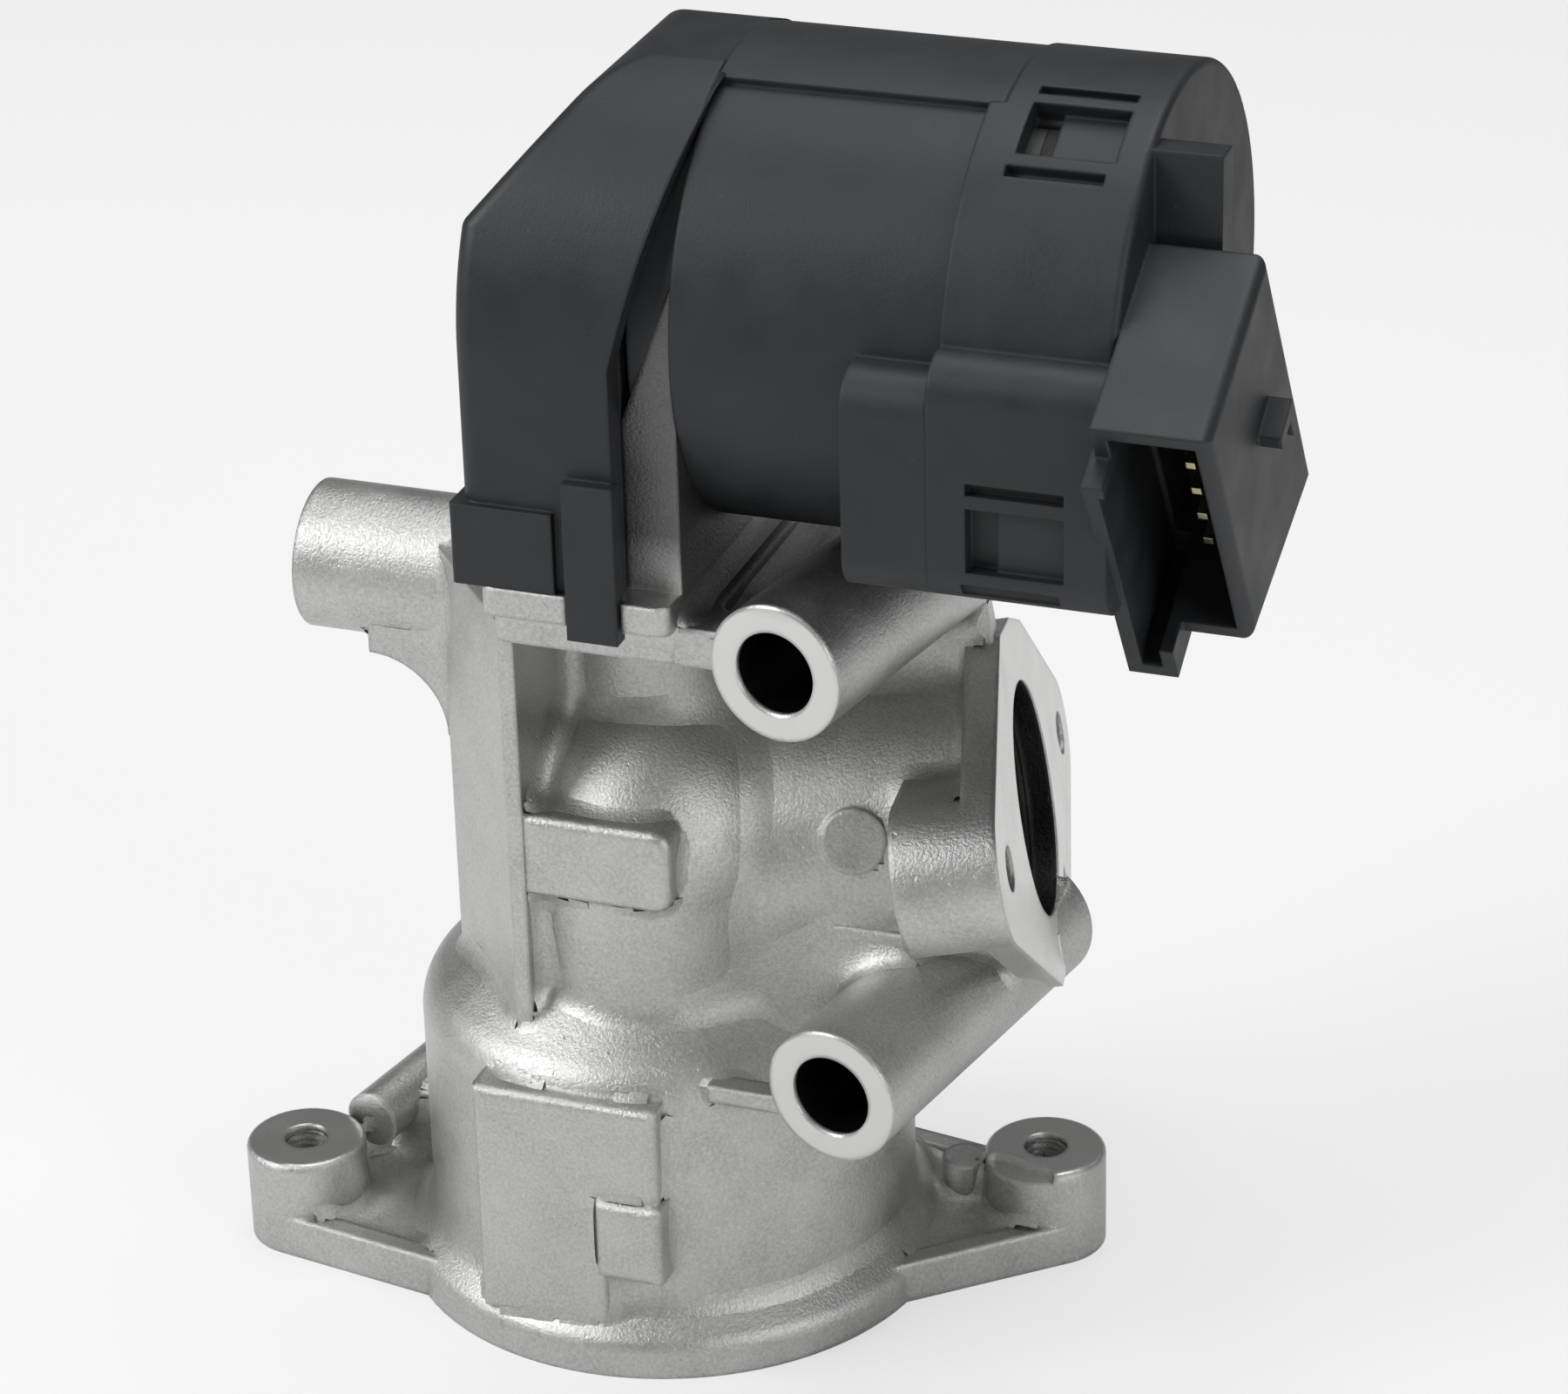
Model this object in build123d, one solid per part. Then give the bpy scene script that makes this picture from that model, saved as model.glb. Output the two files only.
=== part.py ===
from build123d import *
import math
import os

# Motorised exhaust gas recirculation valve. All lengths are millimetres.
# The stem runs along Z through the centre of the base, and the base face is at Z = 0.
# The motor lies along X above the body. The three bosses' plain faces look towards -Y.

# Base flange and its two screw ears
flange_radius = 31.0
flange_height = 4.0
ear_web_radius = 25.0
ear_web_height = 5.0
ear_distance = 42.6
ear_angle = 16.0
ear_radius = 6.9
ear_height = 11.8
ear_hole_radius = 2.5
ear_edge_round = 0.8
web_rim = 2.6
web_recess = 1.2
ear_slot_length = 9.0
ear_slot_width = 2.6
ear_slot_depth = 1.0
ear_slot_offset = 5.6
ear_slot_turn = -32.0
lug_radius = 3.3
lug_x = -35.7
lug_height = 11.1
lug_front = -5.0
lug_length = 18.0
lug_web_thickness = 5.0
post_radius = 2.6
post_height = 9.0
post_distance = 33.4
post_angle = 20.0

# Outside of the casting
barrel_radius = 27.7
barrel_top = 34.5
barrel_round = 6.0
foot_rise = 3.2
foot_round = 2.4
neck_radius = 18.0
neck_foot = 42.0
neck_round = 5.0
neck_top = 54.0
dome_radius = 16.6
dome_height = 55.6
dome_forward = 4.8
dome_sideways = 1.2
dome_taper = 1.4
tower_radius = 9.6
rib_plane = 22.0
rib_left = 9.0
rib_thickness = 1.7
web_reach = 22.3
web_half_width = 6.5
web_round = 2.0
web_bottom = 37.0

# Raised pads on the front of the casting
middle_pad_width = 17.0
middle_pad_left = 7.5
middle_pad_bottom = 54.2
middle_pad_height = 9.7
middle_pad_round = 2.0
lower_pad_plane = 29.2
lower_pad_left = 12.0
lower_pad_right = 9.4
lower_pad_top = 33.6
lower_pad_step_x = 3.0
lower_pad_step_z = 12.4
thick_pad_plane = 30.4
thick_pad_left = 2.4
thick_pad_height = 9.6
thick_pad_reach = 0.6
pad_round = 1.0
disc_radius = 3.6
disc_height = 0.8
disc_reach = 23.7
disc_rise = 19.8

# Gas passages
inlet_radius = 19.0
inlet_height = 14.0
chamber_radius = 13.4
chamber_top = 48.0
dome_room_radius = 9.0

# Outlet duct and flange
outlet_azimuth = 13.0
outlet_rise = 10.0
outlet_reach = 42.4
outlet_axis_height = 50.4
outlet_bore_radius = 13.1
outlet_mouth_depth = 3.0
duct_bore_radius = 11.4
duct_radius = 17.2
outlet_plate = 3.9
outlet_core_corners = ((-2.5, 21.2), (5.6, 19.5), (13.0, 15.6), (11.9, -17.5), (4.2, -20.5), (-7.1, -19.9))
outlet_bolt_offset = 26.0
outlet_bolt_tilt = 11.0
outlet_near_radius = 8.2
outlet_far_radius = 6.6
outlet_ear_depth = 11.4
outlet_edge_round = 0.6
outlet_hole_radius = 2.5
outlet_hole_depth = 11.0

# Mounting bosses with plain bores, and the stub boss with its screw hole
boss_azimuth = 78.9
boss_face = 23.0
boss_length = 45.0
boss_radius = 7.6
boss_bore_radius = 4.6
lower_boss_x = 35.6
lower_boss_z = 39.8
upper_boss_x = 30.0
upper_boss_z = 88.4
stub_radius = 8.3
stub_height = 81.2
stub_end = 39.2
stub_start = 10.0
stub_hole_radius = 3.4
stub_hole_depth = 16.0
stub_gusset_radius = 9.0

# Plates between the bosses and the rest of the casting
boss_web_front = 12.0
boss_web_step = 2.0
boss_web_reach = 5.0
boss_web_thickness = 8.0
tab_front = 24.4
tab_width = 2.8
tab_drop = 6.4
tab_height = 2.0
fin_reach = 11.0
fin_back = 9.0
fin_thickness = 4.0
fin_gap = 3.0

# Gear housing on top of the casting
deck_top = 94.0
deck_rim = 3.2
deck_left = 8.0
deck_ledge = 1.05
deck_back = 27.0
deck_round = 1.5
pedestal_bottom = 86.5
pedestal_front = 25.6
pedestal_back = 20.0
ledge_back = 12.0
ledge_rim = 2.4
pocket_depth = 3.6
pocket_round = 3.0
wall_left = 7.0
wall_thickness = 6.0
wall_step = 1.2
spring_bore_radius = 7.5
spring_floor = 74.0

# Motor axis, motor and gear wheels
motor_above_deck = 26.4
motor_gap = 0.4
gear_module = 0.8
output_module = 1.0
pinion_teeth = 10
idler_big_teeth = 28
idler_small_teeth = 12
sector_teeth = 36
output_teeth = 14
output_drop = 15.0
rack_pitch_plane = 3.0
pressure_angle = 25.0
addendum = 0.8
dedendum = 1.05
backlash = 0.10
gear_gap = 0.5
sector_width = 3.0
idler_width = 3.0
sector_low = -14.0
sector_high = 74.0
hub_radius = 4.2
hub_wall = 1.2
hub_step = 1.0
valve_lift = 5.5

# Cover over the gears
cover_wall = 2.2
cover_lap_wall = 3.0
cover_arch_drop = 0.95
cover_flat_drop = 0.85
cover_ledge = 2.0
cover_left = 10.0
cover_lap_gap = 0.15
cover_slope_rise = 11.6
cover_slope_x = 1.7
cover_edge_low_drop = 1.0
cover_edge_right = 14.2
cover_edge_top_rise = 26.5
cover_round = 2.0
cover_shoulder = 9.0
foot_band_height = 9.0
foot_band_depth = 0.9
tongue_left = 2.0
tongue_width = 5.6
tongue_rise = 13.0
tongue_drop = 4.6
tongue_depth = 1.6
tongue_slot = 1.5
tongue_gap = 0.3
lip_low_drop = 8.0
lip_high_rise = 8.0
lip_thickness = 2.4
lip_reach = 5.0
gasket_thickness = 0.8

# Motor housing and end cap
housing_radius = 25.4
housing_wall = 2.9
housing_length = 29.0
strip_height = 0.9
strip_front = 110.0
strip_sweep = 100.0
strip_overhang = 1.4
spigot_length = 6.0
spigot_gap = 0.1
seal_ring = 1.2
cap_step = 1.2
cap_wall = 2.4
cap_end = 1.8
cap_round = 0.8
rear_room = 2.2
box_depth = 5.6
box_drop = 20.6
box_rise = 5.4
box_reach = 9.0
box_round = 4.0
block_drop = 2.4
latch_width = 10.2
latch_height = 7.0
latch_depth = 1.2
latch_deep = 1.9
upper_latch_angle = 116.6
upper_latch_edge = 4.4
lower_latch_drop = 13.0
lower_latch_edge = 4.0
latch_slot = 1.3
latch_slot_gap = 1.4
latch_catch = 3.0

# Electrical connector
socket_tilt = 32.0
socket_right = 72.0
socket_left = 60.0
socket_low = 13.5
socket_high = 21.0
socket_root = 5.0
socket_taper = 4.5
socket_rim = 28.6
socket_left_rim = 32.4
socket_wall = 1.6
socket_floor = 12.0
socket_key_width = 4.6
socket_key_drop = 3.0
socket_key_top = 4.6
socket_key_step = 0.6
socket_key_floor = 6.0
socket_round = 1.2
nub_width = 5.0
nub_height = 2.4
nub_bar = 1.6
nub_low = 1.5
nub_high = 5.6
nub_reach = 12.0
pin_count = 5
pin_pitch = 4.4
pin_size = 1.0
pin_reach = 11.0
pin_root = 5.0
pin_offset = 3.4
spine_thickness = 3.4
spine_offset = 9.6
spine_foot = 4.0
spine_top = 23.0
spine_reach = 7.0

# Electric motor inside the housing
can_room = 3.5
can_length = 40.0
can_wall = 1.0
magnet_thickness = 3.6
magnet_span = 130.0
magnet_start = 6.0
magnet_tail = 12.0
magnet_gap = 0.8
core_setback = 2.0
winding_length = 3.4
winding_inset = 2.6
winding_round = 1.2
slot_count = 8
slot_width = 2.0
slot_depth = 6.6
commutator_radius = 5.0
commutator_length = 6.0
bar_gap = 0.4
bar_depth = 1.0
shaft_radius = 1.6
rotor_gap = 0.4
commutator_gap = 1.4
bearing_radius = 4.5
bearing_length = 4.0
bearing_pocket = 1.0
running_gap = 0.05
brush_width = 3.0
brush_thickness = 3.6
brush_plate = 2.0
brush_length = 11.0
brush_guide = 6.0
brush_wall = 1.0
brush_clear = 1.0
motor_screw_radius = 1.5
motor_screw_head = 2.8
motor_screw_head_height = 1.8
motor_screw_offset = 12.5

# Valve, its seat, its guide and its spring
stem_radius = 3.0
stem_top = 88.0
spigot_radius = 2.0
seat_outer_radius = 16.0
seat_throat_radius = 11.2
seat_height = 5.0
seat_land = 1.2
head_radius = 12.8
head_edge = 1.6
head_cone = 2.6
bush_radius = 6.0
bush_bottom = 60.0
bush_top = 71.0
seal_radius = 6.4
seal_height = 2.4
seal_cup_wall = 0.6
press_gap = 0.02
spring_wire = 1.0
spring_radius = 5.4
spring_turns = 4.5
retainer_radius = 6.9
retainer_thickness = 1.4
foot_block_height = 4.0
rack_width = 5.0
rack_back = 2.6
rack_length = 13.0
axle_radius = 1.5
axle_stop = 1.0
axle_gap = 0.06
magnet_ring_radius = 3.4
magnet_ring_height = 1.4
board_thickness = 1.0
board_width = 12.0

# Places worked out from the sizes above
motor_height = deck_top + motor_above_deck
output_height = motor_height - output_drop
wall_radius = housing_radius - wall_step
wall_right = wall_left + wall_thickness
housing_end = wall_right + housing_length
cap_radius = housing_radius + cap_step
can_radius = housing_radius - housing_wall - can_room
can_left = wall_right
can_right = can_left + can_length
rear_bearing_left = can_right - can_wall
cap_right = rear_bearing_left + bearing_length + rear_room + cap_end
magnet_length = can_length - magnet_start - magnet_tail
core_length = magnet_length - 2 * core_setback
core_radius = can_radius - can_wall - magnet_thickness - magnet_gap
winding_radius = core_radius - winding_inset
box_front = housing_radius + box_depth
box_bottom = motor_height - box_drop
box_top = motor_height + box_rise
box_left = housing_end - box_reach
lower_latch_height = motor_height - lower_latch_drop
cover_slope_foot = motor_height + cover_slope_rise
cover_edge_low = motor_height - cover_edge_low_drop
cover_edge_top = motor_height + cover_edge_top_rise
lip_low = motor_height - lip_low_drop
lip_high = motor_height + lip_high_rise
cover_half = wall_radius + cover_lap_gap + cover_lap_wall
deck_front = cover_half + deck_ledge
cover_top = motor_height + cover_half - cover_arch_drop - cover_flat_drop
gear_room = wall_radius - cover_ledge
output_radius = output_module * output_teeth / 2
sector_radius = gear_module * sector_teeth / 2
idler_big_radius = gear_module * idler_big_teeth / 2
idler_small_radius = gear_module * idler_small_teeth / 2
pinion_radius = gear_module * pinion_teeth / 2
output_y = -rack_pitch_plane - output_radius
rack_left = wall_left - gear_gap - hub_step - rack_width
sector_left = rack_left - gear_gap - sector_width
idler_left = sector_left - gear_gap - idler_width
seat_bottom = inlet_height
seat_top = seat_bottom + seat_height
retainer_bottom = stem_top - retainer_thickness
past = 1.0
union_depth = 0.5
low, mid, high = Align.MIN, Align.CENTER, Align.MAX
upright = (mid, mid, low)


def turned(points, rounds=()):
    """A solid of revolution about Z; rounds gives (point number, radius) for rounded corners."""
    face = make_face(Polyline(*points, close=True))
    for number, radius in rounds:
        corner = Vector(*points[number])
        nearest = min(face.vertices(), key=lambda v: (Vector(*v) - corner).length)
        face = fillet(nearest, radius)
    return revolve(Plane.XZ * face, Axis.Z)


def along(origin, direction, radius, start, end):
    """A cylinder on an axis through origin, from start to end along the direction."""
    axis = Vector(*direction).normalized()
    base = Vector(*origin) + axis * start
    return Plane(origin=base, z_dir=axis) * Cylinder(radius, end - start, align=upright)


def block(x0, x1, y0, y1, z0, z1):
    """A plain block between two corners."""
    return Pos(x0, y0, z0) * Box(x1 - x0, y1 - y0, z1 - z0, align=(low, low, low))


def side_profile(radius, bottom):
    """The gear housing's outline in the YZ plane: a half circle over a straight-sided part."""
    arch = Pos(0, motor_height) * Circle(radius)
    legs = Pos(0, bottom) * Rectangle(2 * radius, motor_height - bottom, align=(mid, low))
    return arch + legs


def side_slab(radius, bottom, x0, x1):
    """The gear housing's outline, from x0 to x1."""
    return Plane.YZ.offset(x0) * extrude(side_profile(radius, bottom), x1 - x0)


def motor_cylinder(radius, x0, x1):
    """A cylinder on the motor axis."""
    return along((0, 0, motor_height), (1, 0, 0), radius, x0, x1)


# Directions
boss_axis = Vector(math.cos(math.radians(boss_azimuth)), math.sin(math.radians(boss_azimuth)), 0)
outlet_axis = Vector(
    math.cos(math.radians(outlet_azimuth)) * math.cos(math.radians(outlet_rise)),
    math.sin(math.radians(outlet_azimuth)) * math.cos(math.radians(outlet_rise)),
    math.sin(math.radians(outlet_rise)),
)
outlet_side = Vector(-math.sin(math.radians(outlet_azimuth)), math.cos(math.radians(outlet_azimuth)), 0)
outlet_start = Vector(0, 0, outlet_axis_height)
outlet_face = Plane(origin=outlet_start + outlet_axis * outlet_reach, x_dir=outlet_side, z_dir=outlet_axis)
ear_places = PolarLocations(ear_distance, 2, start_angle=ear_angle)


def boss_point(x, z):
    """Where a boss axis meets the plane of the bosses' plain faces."""
    start = Vector(x, 0, z)
    travel = -boss_face - start.X * boss_axis.X
    return start + boss_axis * travel


lower_boss_point = boss_point(lower_boss_x, lower_boss_z)
upper_boss_point = boss_point(upper_boss_x, upper_boss_z)


def base_shape():
    """The barrel, the neck and its dome, with the flange and its two ears."""
    outline = [
        (0, 0),
        (flange_radius, 0),
        (flange_radius, flange_height),
        (barrel_radius, flange_height + foot_rise),
        (barrel_radius, barrel_top),
        (neck_radius, neck_foot),
        (neck_radius, neck_top),
        (0, neck_top),
    ]
    rounds = ((2, foot_round), (3, foot_round), (4, barrel_round), (5, neck_round))
    shape = turned(outline, rounds) + Pos(dome_sideways, -dome_forward, dome_height) * Sphere(dome_radius)
    front = Cone(dome_radius - dome_taper, dome_radius, dome_height - barrel_top, align=upright)
    shape += Pos(dome_sideways, -dome_forward, barrel_top) * front
    ear_circles = [place * Circle(ear_radius) for place in ear_places]
    web = make_hull(Circle(ear_web_radius).edges() + ear_circles[0].edges() + ear_circles[1].edges())
    plate = extrude(web, ear_web_height)
    recess = extrude(offset(web, -web_rim), web_recess)
    shape += plate - Pos(0, 0, ear_web_height - web_recess) * recess
    shape += [place * Cylinder(ear_radius, ear_height, align=upright) for place in ear_places]
    ear_tops = shape.faces().filter_by(Axis.Z).filter_by(lambda face: abs(face.center().Z - ear_height) < 0.01)
    shape = fillet([edge for face in ear_tops for edge in face.edges()], ear_edge_round)
    post_place = PolarLocations(post_distance, 1, start_angle=post_angle).locations[0]
    shape += post_place * Cylinder(post_radius, post_height, align=upright)
    shape += along((lug_x, lug_front, lug_height), boss_axis, lug_radius, 0, lug_length)
    shape += block(
        lug_x, -barrel_radius / 2,
        lug_front + lug_web_thickness, lug_front + 2 * lug_web_thickness,
        0, lug_height + lug_radius / 2,
    )
    return shape


def left_web():
    """The upright web on the left of the neck, which ends in the front rib."""
    rib_right = -rib_left + rib_thickness
    back = math.sqrt(neck_radius ** 2 - rib_right ** 2)
    outline = Polyline(
        (rib_right, -rib_plane),
        (-rib_left, -rib_plane),
        (-web_reach, -web_half_width),
        (-web_reach, web_half_width),
        (rib_right, back),
        close=True,
    )
    face = fillet(make_face(outline).vertices().sort_by(Axis.X)[:2], web_round)
    return extrude(Pos(0, 0, web_bottom) * face, pedestal_bottom + union_depth - web_bottom)


def duct():
    """The outlet duct with its flange plate and its ears."""
    pipe = along(outlet_start, outlet_axis, duct_radius, 0, outlet_reach - outlet_plate / 2)
    tilted = outlet_face * Rot(0, 0, -outlet_bolt_tilt)
    radii = {-1: outlet_near_radius, 1: outlet_far_radius}
    ears = [Pos(side * outlet_bolt_offset, 0) * Circle(radii[side]) for side in (-1, 1)]
    core = Rot(0, 0, outlet_bolt_tilt) * Polyline(*outlet_core_corners, close=True)
    plate = extrude(make_hull(ears[0].edges() + ears[1].edges() + core.edges()), -outlet_plate)
    plate = fillet(plate.edges().group_by(Axis.Z)[0], outlet_edge_round)
    shape = pipe + tilted * plate
    for side in (-1, 1):
        ear = tilted * Pos(side * outlet_bolt_offset, 0, 0)
        shape += ear * Cylinder(radii[side], outlet_ear_depth, align=(mid, mid, high))
        reach = outlet_bolt_offset - duct_radius / 2
        bridge = Box(reach, 2 * radii[side], outlet_ear_depth, align=(mid, mid, high))
        shape += tilted * Pos(side * (outlet_bolt_offset - reach / 2), 0, 0) * bridge
    return shape


def tubes():
    """The two plain-bored bosses with their webs, and the stub boss with its gusset."""
    shape = along(lower_boss_point, boss_axis, boss_radius, 0, boss_length)
    shape += along(upper_boss_point, boss_axis, boss_radius, 0, boss_length)
    shape += along((0, 0, stub_height), (-1, 0, 0), stub_radius, stub_start, stub_end)
    low_z = stub_height - stub_radius - stub_gusset_radius
    gusset = block(
        -web_reach - stub_gusset_radius, -web_reach + web_round,
        -web_half_width, web_half_width,
        low_z, stub_height,
    )
    hollow = Pos(-web_reach - stub_gusset_radius, 0, low_z) * Rot(90, 0, 0)
    shape += gusset - hollow * Cylinder(stub_gusset_radius, 4 * web_half_width)
    return shape


def webs():
    """Plates that tie the bosses, the duct, the tower and the gear housing together."""
    inner = neck_radius / 2
    lower_web = block(
        inner, lower_boss_x - boss_web_step,
        -boss_web_front, boss_web_front,
        lower_boss_z - boss_radius / 2, outlet_axis_height,
    )
    lower_web += block(
        inner, lower_boss_x + boss_web_reach,
        boss_web_front - boss_web_thickness, boss_web_front,
        lower_boss_z, outlet_axis_height + boss_web_step,
    )
    tab = block(
        barrel_radius / 2, lower_boss_x - boss_web_step,
        -tab_front, -tab_front + tab_width,
        lower_boss_z - tab_drop, lower_boss_z - tab_drop + tab_height,
    )
    upper_web = block(
        inner, upper_boss_x + boss_web_step,
        -boss_web_front, boss_web_front,
        pedestal_bottom - boss_web_step, pedestal_bottom + fin_gap / 2,
    )
    fin = block(
        inner, upper_boss_x + fin_reach,
        fin_back - fin_thickness, fin_back,
        outlet_axis_height + fin_reach, upper_boss_z - fin_gap,
    )
    ahead = outlet_face * Pos(0, 0, -outlet_edge_round)
    fin -= ahead * Cylinder(outlet_reach, outlet_reach, align=upright)
    return lower_web + tab + upper_web + fin


def above_lip_line():
    """Everything above the slanted line where the motor housing's lip takes over from the wall."""
    outline = Polyline(
        (wall_left, lip_low),
        (wall_right, lip_high),
        (wall_right, motor_height + 2 * wall_radius),
        (wall_left, motor_height + 2 * wall_radius),
        close=True,
    )
    return extrude(Plane.XZ * make_face(outline), 2 * wall_radius, both=True)


def gear_housing():
    """The deck, the pedestal under it, the tower and the wall that carries the motor."""
    tower = Cylinder(tower_radius, pedestal_bottom + union_depth - outlet_axis_height, align=upright)
    shape = Pos(0, 0, outlet_axis_height) * tower
    deck = block(-deck_left, wall_right, -deck_front, deck_back, deck_top - deck_rim, deck_top)
    shape += fillet(deck.edges().filter_by(Axis.Z), deck_round)
    pedestal = block(
        -deck_left, wall_right,
        -pedestal_front, pedestal_back,
        pedestal_bottom, deck_top - union_depth,
    )
    shape += fillet(pedestal.edges().filter_by(Axis.Z), deck_round)
    wall = side_slab(wall_radius, deck_top - union_depth, wall_left, wall_right)
    shape += wall - (above_lip_line() - motor_cylinder(wall_radius - lip_thickness, wall_left, wall_right))
    ledge_top = deck_top - deck_rim
    ledge_left = wall_right - union_depth
    ledge = block(ledge_left, upper_boss_x, -pedestal_front, ledge_back, pedestal_bottom, ledge_top)
    pocket = block(
        wall_right + ledge_rim, upper_boss_x + past,
        -pedestal_front + 2 * ledge_rim, ledge_back + past,
        ledge_top - pocket_depth, ledge_top + past,
    )
    pocket = fillet(pocket.edges().filter_by(Axis.Z).sort_by(Axis.X)[:2], pocket_round)
    return shape + ledge - pocket


def pads():
    """The raised pads and the round mark on the front of the casting."""
    middle = block(
        -middle_pad_left, middle_pad_width - middle_pad_left,
        -rib_plane, -neck_radius / 2,
        middle_pad_bottom, middle_pad_bottom + middle_pad_height,
    )
    middle = fillet(middle.edges().filter_by(Axis.Y).sort_by(Axis.X)[-2:], middle_pad_round)
    shape = fillet(middle.edges().group_by(Axis.Y)[0], pad_round)
    pad_foot = flange_height + foot_rise / 3
    lower_outline = Polyline(
        (-lower_pad_left, pad_foot),
        (lower_pad_step_x, pad_foot),
        (lower_pad_step_x, lower_pad_step_z),
        (lower_pad_right, lower_pad_step_z),
        (lower_pad_right, lower_pad_top),
        (-lower_pad_left, lower_pad_top),
        close=True,
    )
    lower = extrude(Plane.XZ * make_face(lower_outline), lower_pad_plane)
    shape += fillet(lower.edges().group_by(Axis.Y)[0], pad_round)
    thick = block(
        thick_pad_left, lower_pad_right + thick_pad_reach,
        -thick_pad_plane, 0,
        lower_pad_step_z, lower_pad_step_z + thick_pad_height,
    )
    shape += fillet(thick.edges().group_by(Axis.Y)[0], pad_round)
    tilt = math.radians(disc_rise)
    disc_at = outlet_start + outlet_axis * disc_reach
    disc_way = outlet_side * -math.cos(tilt) + Vector(0, 0, math.sin(tilt))
    shape += along(disc_at, disc_way, disc_radius, duct_radius - disc_radius, duct_radius + disc_height)
    return shape


def casting_cuts():
    """Everything that is bored, drilled or cored out of the casting."""
    cuts = Pos(0, 0, -past) * Cylinder(inlet_radius, inlet_height + past, align=upright)
    ring_room = Cylinder(seat_outer_radius + press_gap, seat_height + union_depth, align=upright)
    cuts += Pos(0, 0, seat_bottom - union_depth) * ring_room
    chamber = Cylinder(chamber_radius, chamber_top - seat_top + union_depth, align=upright)
    cuts += Pos(0, 0, seat_top - union_depth) * chamber
    dome_room = Cylinder(dome_room_radius, bush_bottom - chamber_top + past, align=upright)
    cuts += Pos(0, 0, chamber_top - past) * dome_room
    cuts += along(outlet_start, outlet_axis, duct_bore_radius, 0, outlet_reach)
    mouth = outlet_reach - outlet_mouth_depth
    cuts += along(outlet_start, outlet_axis, outlet_bore_radius, mouth, outlet_reach + past)
    bush_depth = bush_top - bush_bottom + past
    cuts += Pos(0, 0, bush_bottom) * Cylinder(bush_radius + press_gap, bush_depth, align=upright)
    cup_room = Cylinder(seal_radius + seal_cup_wall + press_gap, spring_floor - bush_top, align=upright)
    cuts += Pos(0, 0, bush_top) * cup_room
    spring_room = Cylinder(spring_bore_radius, deck_top - spring_floor + past, align=upright)
    cuts += Pos(0, 0, spring_floor) * spring_room
    for place in ear_places:
        cuts += place * Pos(0, 0, -past) * Cylinder(ear_hole_radius, ear_height + 2 * past, align=upright)
    slot = extrude(SlotOverall(ear_slot_length, ear_slot_width), ear_slot_depth + past)
    slot_place = Rot(0, 0, ear_slot_turn) * Pos(0, -ear_slot_offset, ear_height - ear_slot_depth)
    cuts += ear_places.locations[0] * slot_place * slot
    cuts += along(lower_boss_point, boss_axis, boss_bore_radius, -past, boss_length + past)
    cuts += along(upper_boss_point, boss_axis, boss_bore_radius, -past, boss_length + past)
    stub_bore = (stub_end - stub_hole_depth, stub_end + past)
    cuts += along((0, 0, stub_height), (-1, 0, 0), stub_hole_radius, *stub_bore)
    tilted = outlet_face * Rot(0, 0, -outlet_bolt_tilt)
    for side in (-1, 1):
        hole = Cylinder(outlet_hole_radius, outlet_hole_depth + past, align=(mid, mid, high))
        cuts += tilted * Pos(side * outlet_bolt_offset, 0, past) * hole
    cuts += motor_cylinder(bearing_radius + rotor_gap, wall_left - past, wall_right + past)
    for side in (-1, 1):
        place = (0, side * motor_screw_offset, motor_height)
        cuts += along(place, (1, 0, 0), motor_screw_radius + rotor_gap, wall_left - past, wall_right + past)
    for axle_y, axle_z in (idler_place(), (output_y, output_height)):
        cuts += along((0, axle_y, axle_z), (1, 0, 0), axle_radius, wall_left - past, wall_right - axle_stop)
    cuts += block(
        tongue_left - tongue_gap, tongue_left + tongue_width + tongue_gap,
        -deck_front - past, -cover_half + tongue_gap,
        deck_top - deck_rim - past, deck_top + past,
    )
    cuts += motor_cylinder(housing_radius + motor_gap, wall_right, cap_right)
    far = 2 * housing_radius
    cuts += block(wall_right, cap_right, -far, far, motor_height, motor_height + far)
    return cuts


def idler_place():
    """The idler axle, where both of its meshes have their right distance."""
    first = pinion_radius + idler_big_radius
    second = idler_small_radius + sector_radius
    span_y, span_z = output_y, output_height - motor_height
    span = math.hypot(span_y, span_z)
    reach = (first ** 2 - second ** 2 + span ** 2) / (2 * span)
    rise = math.sqrt(first ** 2 - reach ** 2)
    y = (span_y * reach - span_z * rise) / span
    z = motor_height + (span_z * reach + span_y * rise) / span
    return y, z


def valve_body():
    """The aluminium casting."""
    shape = base_shape() + left_web() + duct() + tubes() + gear_housing() + pads() + webs()
    return shape - casting_cuts()


def valve_seat():
    """The hardened ring pressed into the casting, with a bevelled land for the head."""
    outline = [
        (seat_throat_radius, seat_bottom + seat_land),
        (seat_throat_radius + seat_land, seat_bottom),
        (seat_outer_radius, seat_bottom),
        (seat_outer_radius, seat_top),
        (seat_throat_radius, seat_top),
    ]
    return turned(outline)


def valve_poppet():
    """The head and stem, turned in one piece, with a thinner end for the rack block."""
    face_top = seat_bottom - press_gap
    outline = [
        (0, face_top - head_edge),
        (head_radius, face_top - head_edge),
        (head_radius, face_top),
        (seat_throat_radius + seat_land, face_top),
        (seat_throat_radius - press_gap, face_top + seat_land),
        (stem_radius, face_top + seat_land + head_cone),
        (stem_radius, retainer_bottom),
        (spigot_radius, retainer_bottom),
        (spigot_radius, stem_top + foot_block_height),
        (0, stem_top + foot_block_height),
    ]
    return turned(outline)


def stem_bush():
    """The guide bush pressed into the casting."""
    length = bush_top - bush_bottom
    bush = Cylinder(bush_radius, length, align=upright)
    bore = Cylinder(stem_radius + running_gap, length, align=upright)
    return Pos(0, 0, bush_bottom) * (bush - bore)


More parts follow.
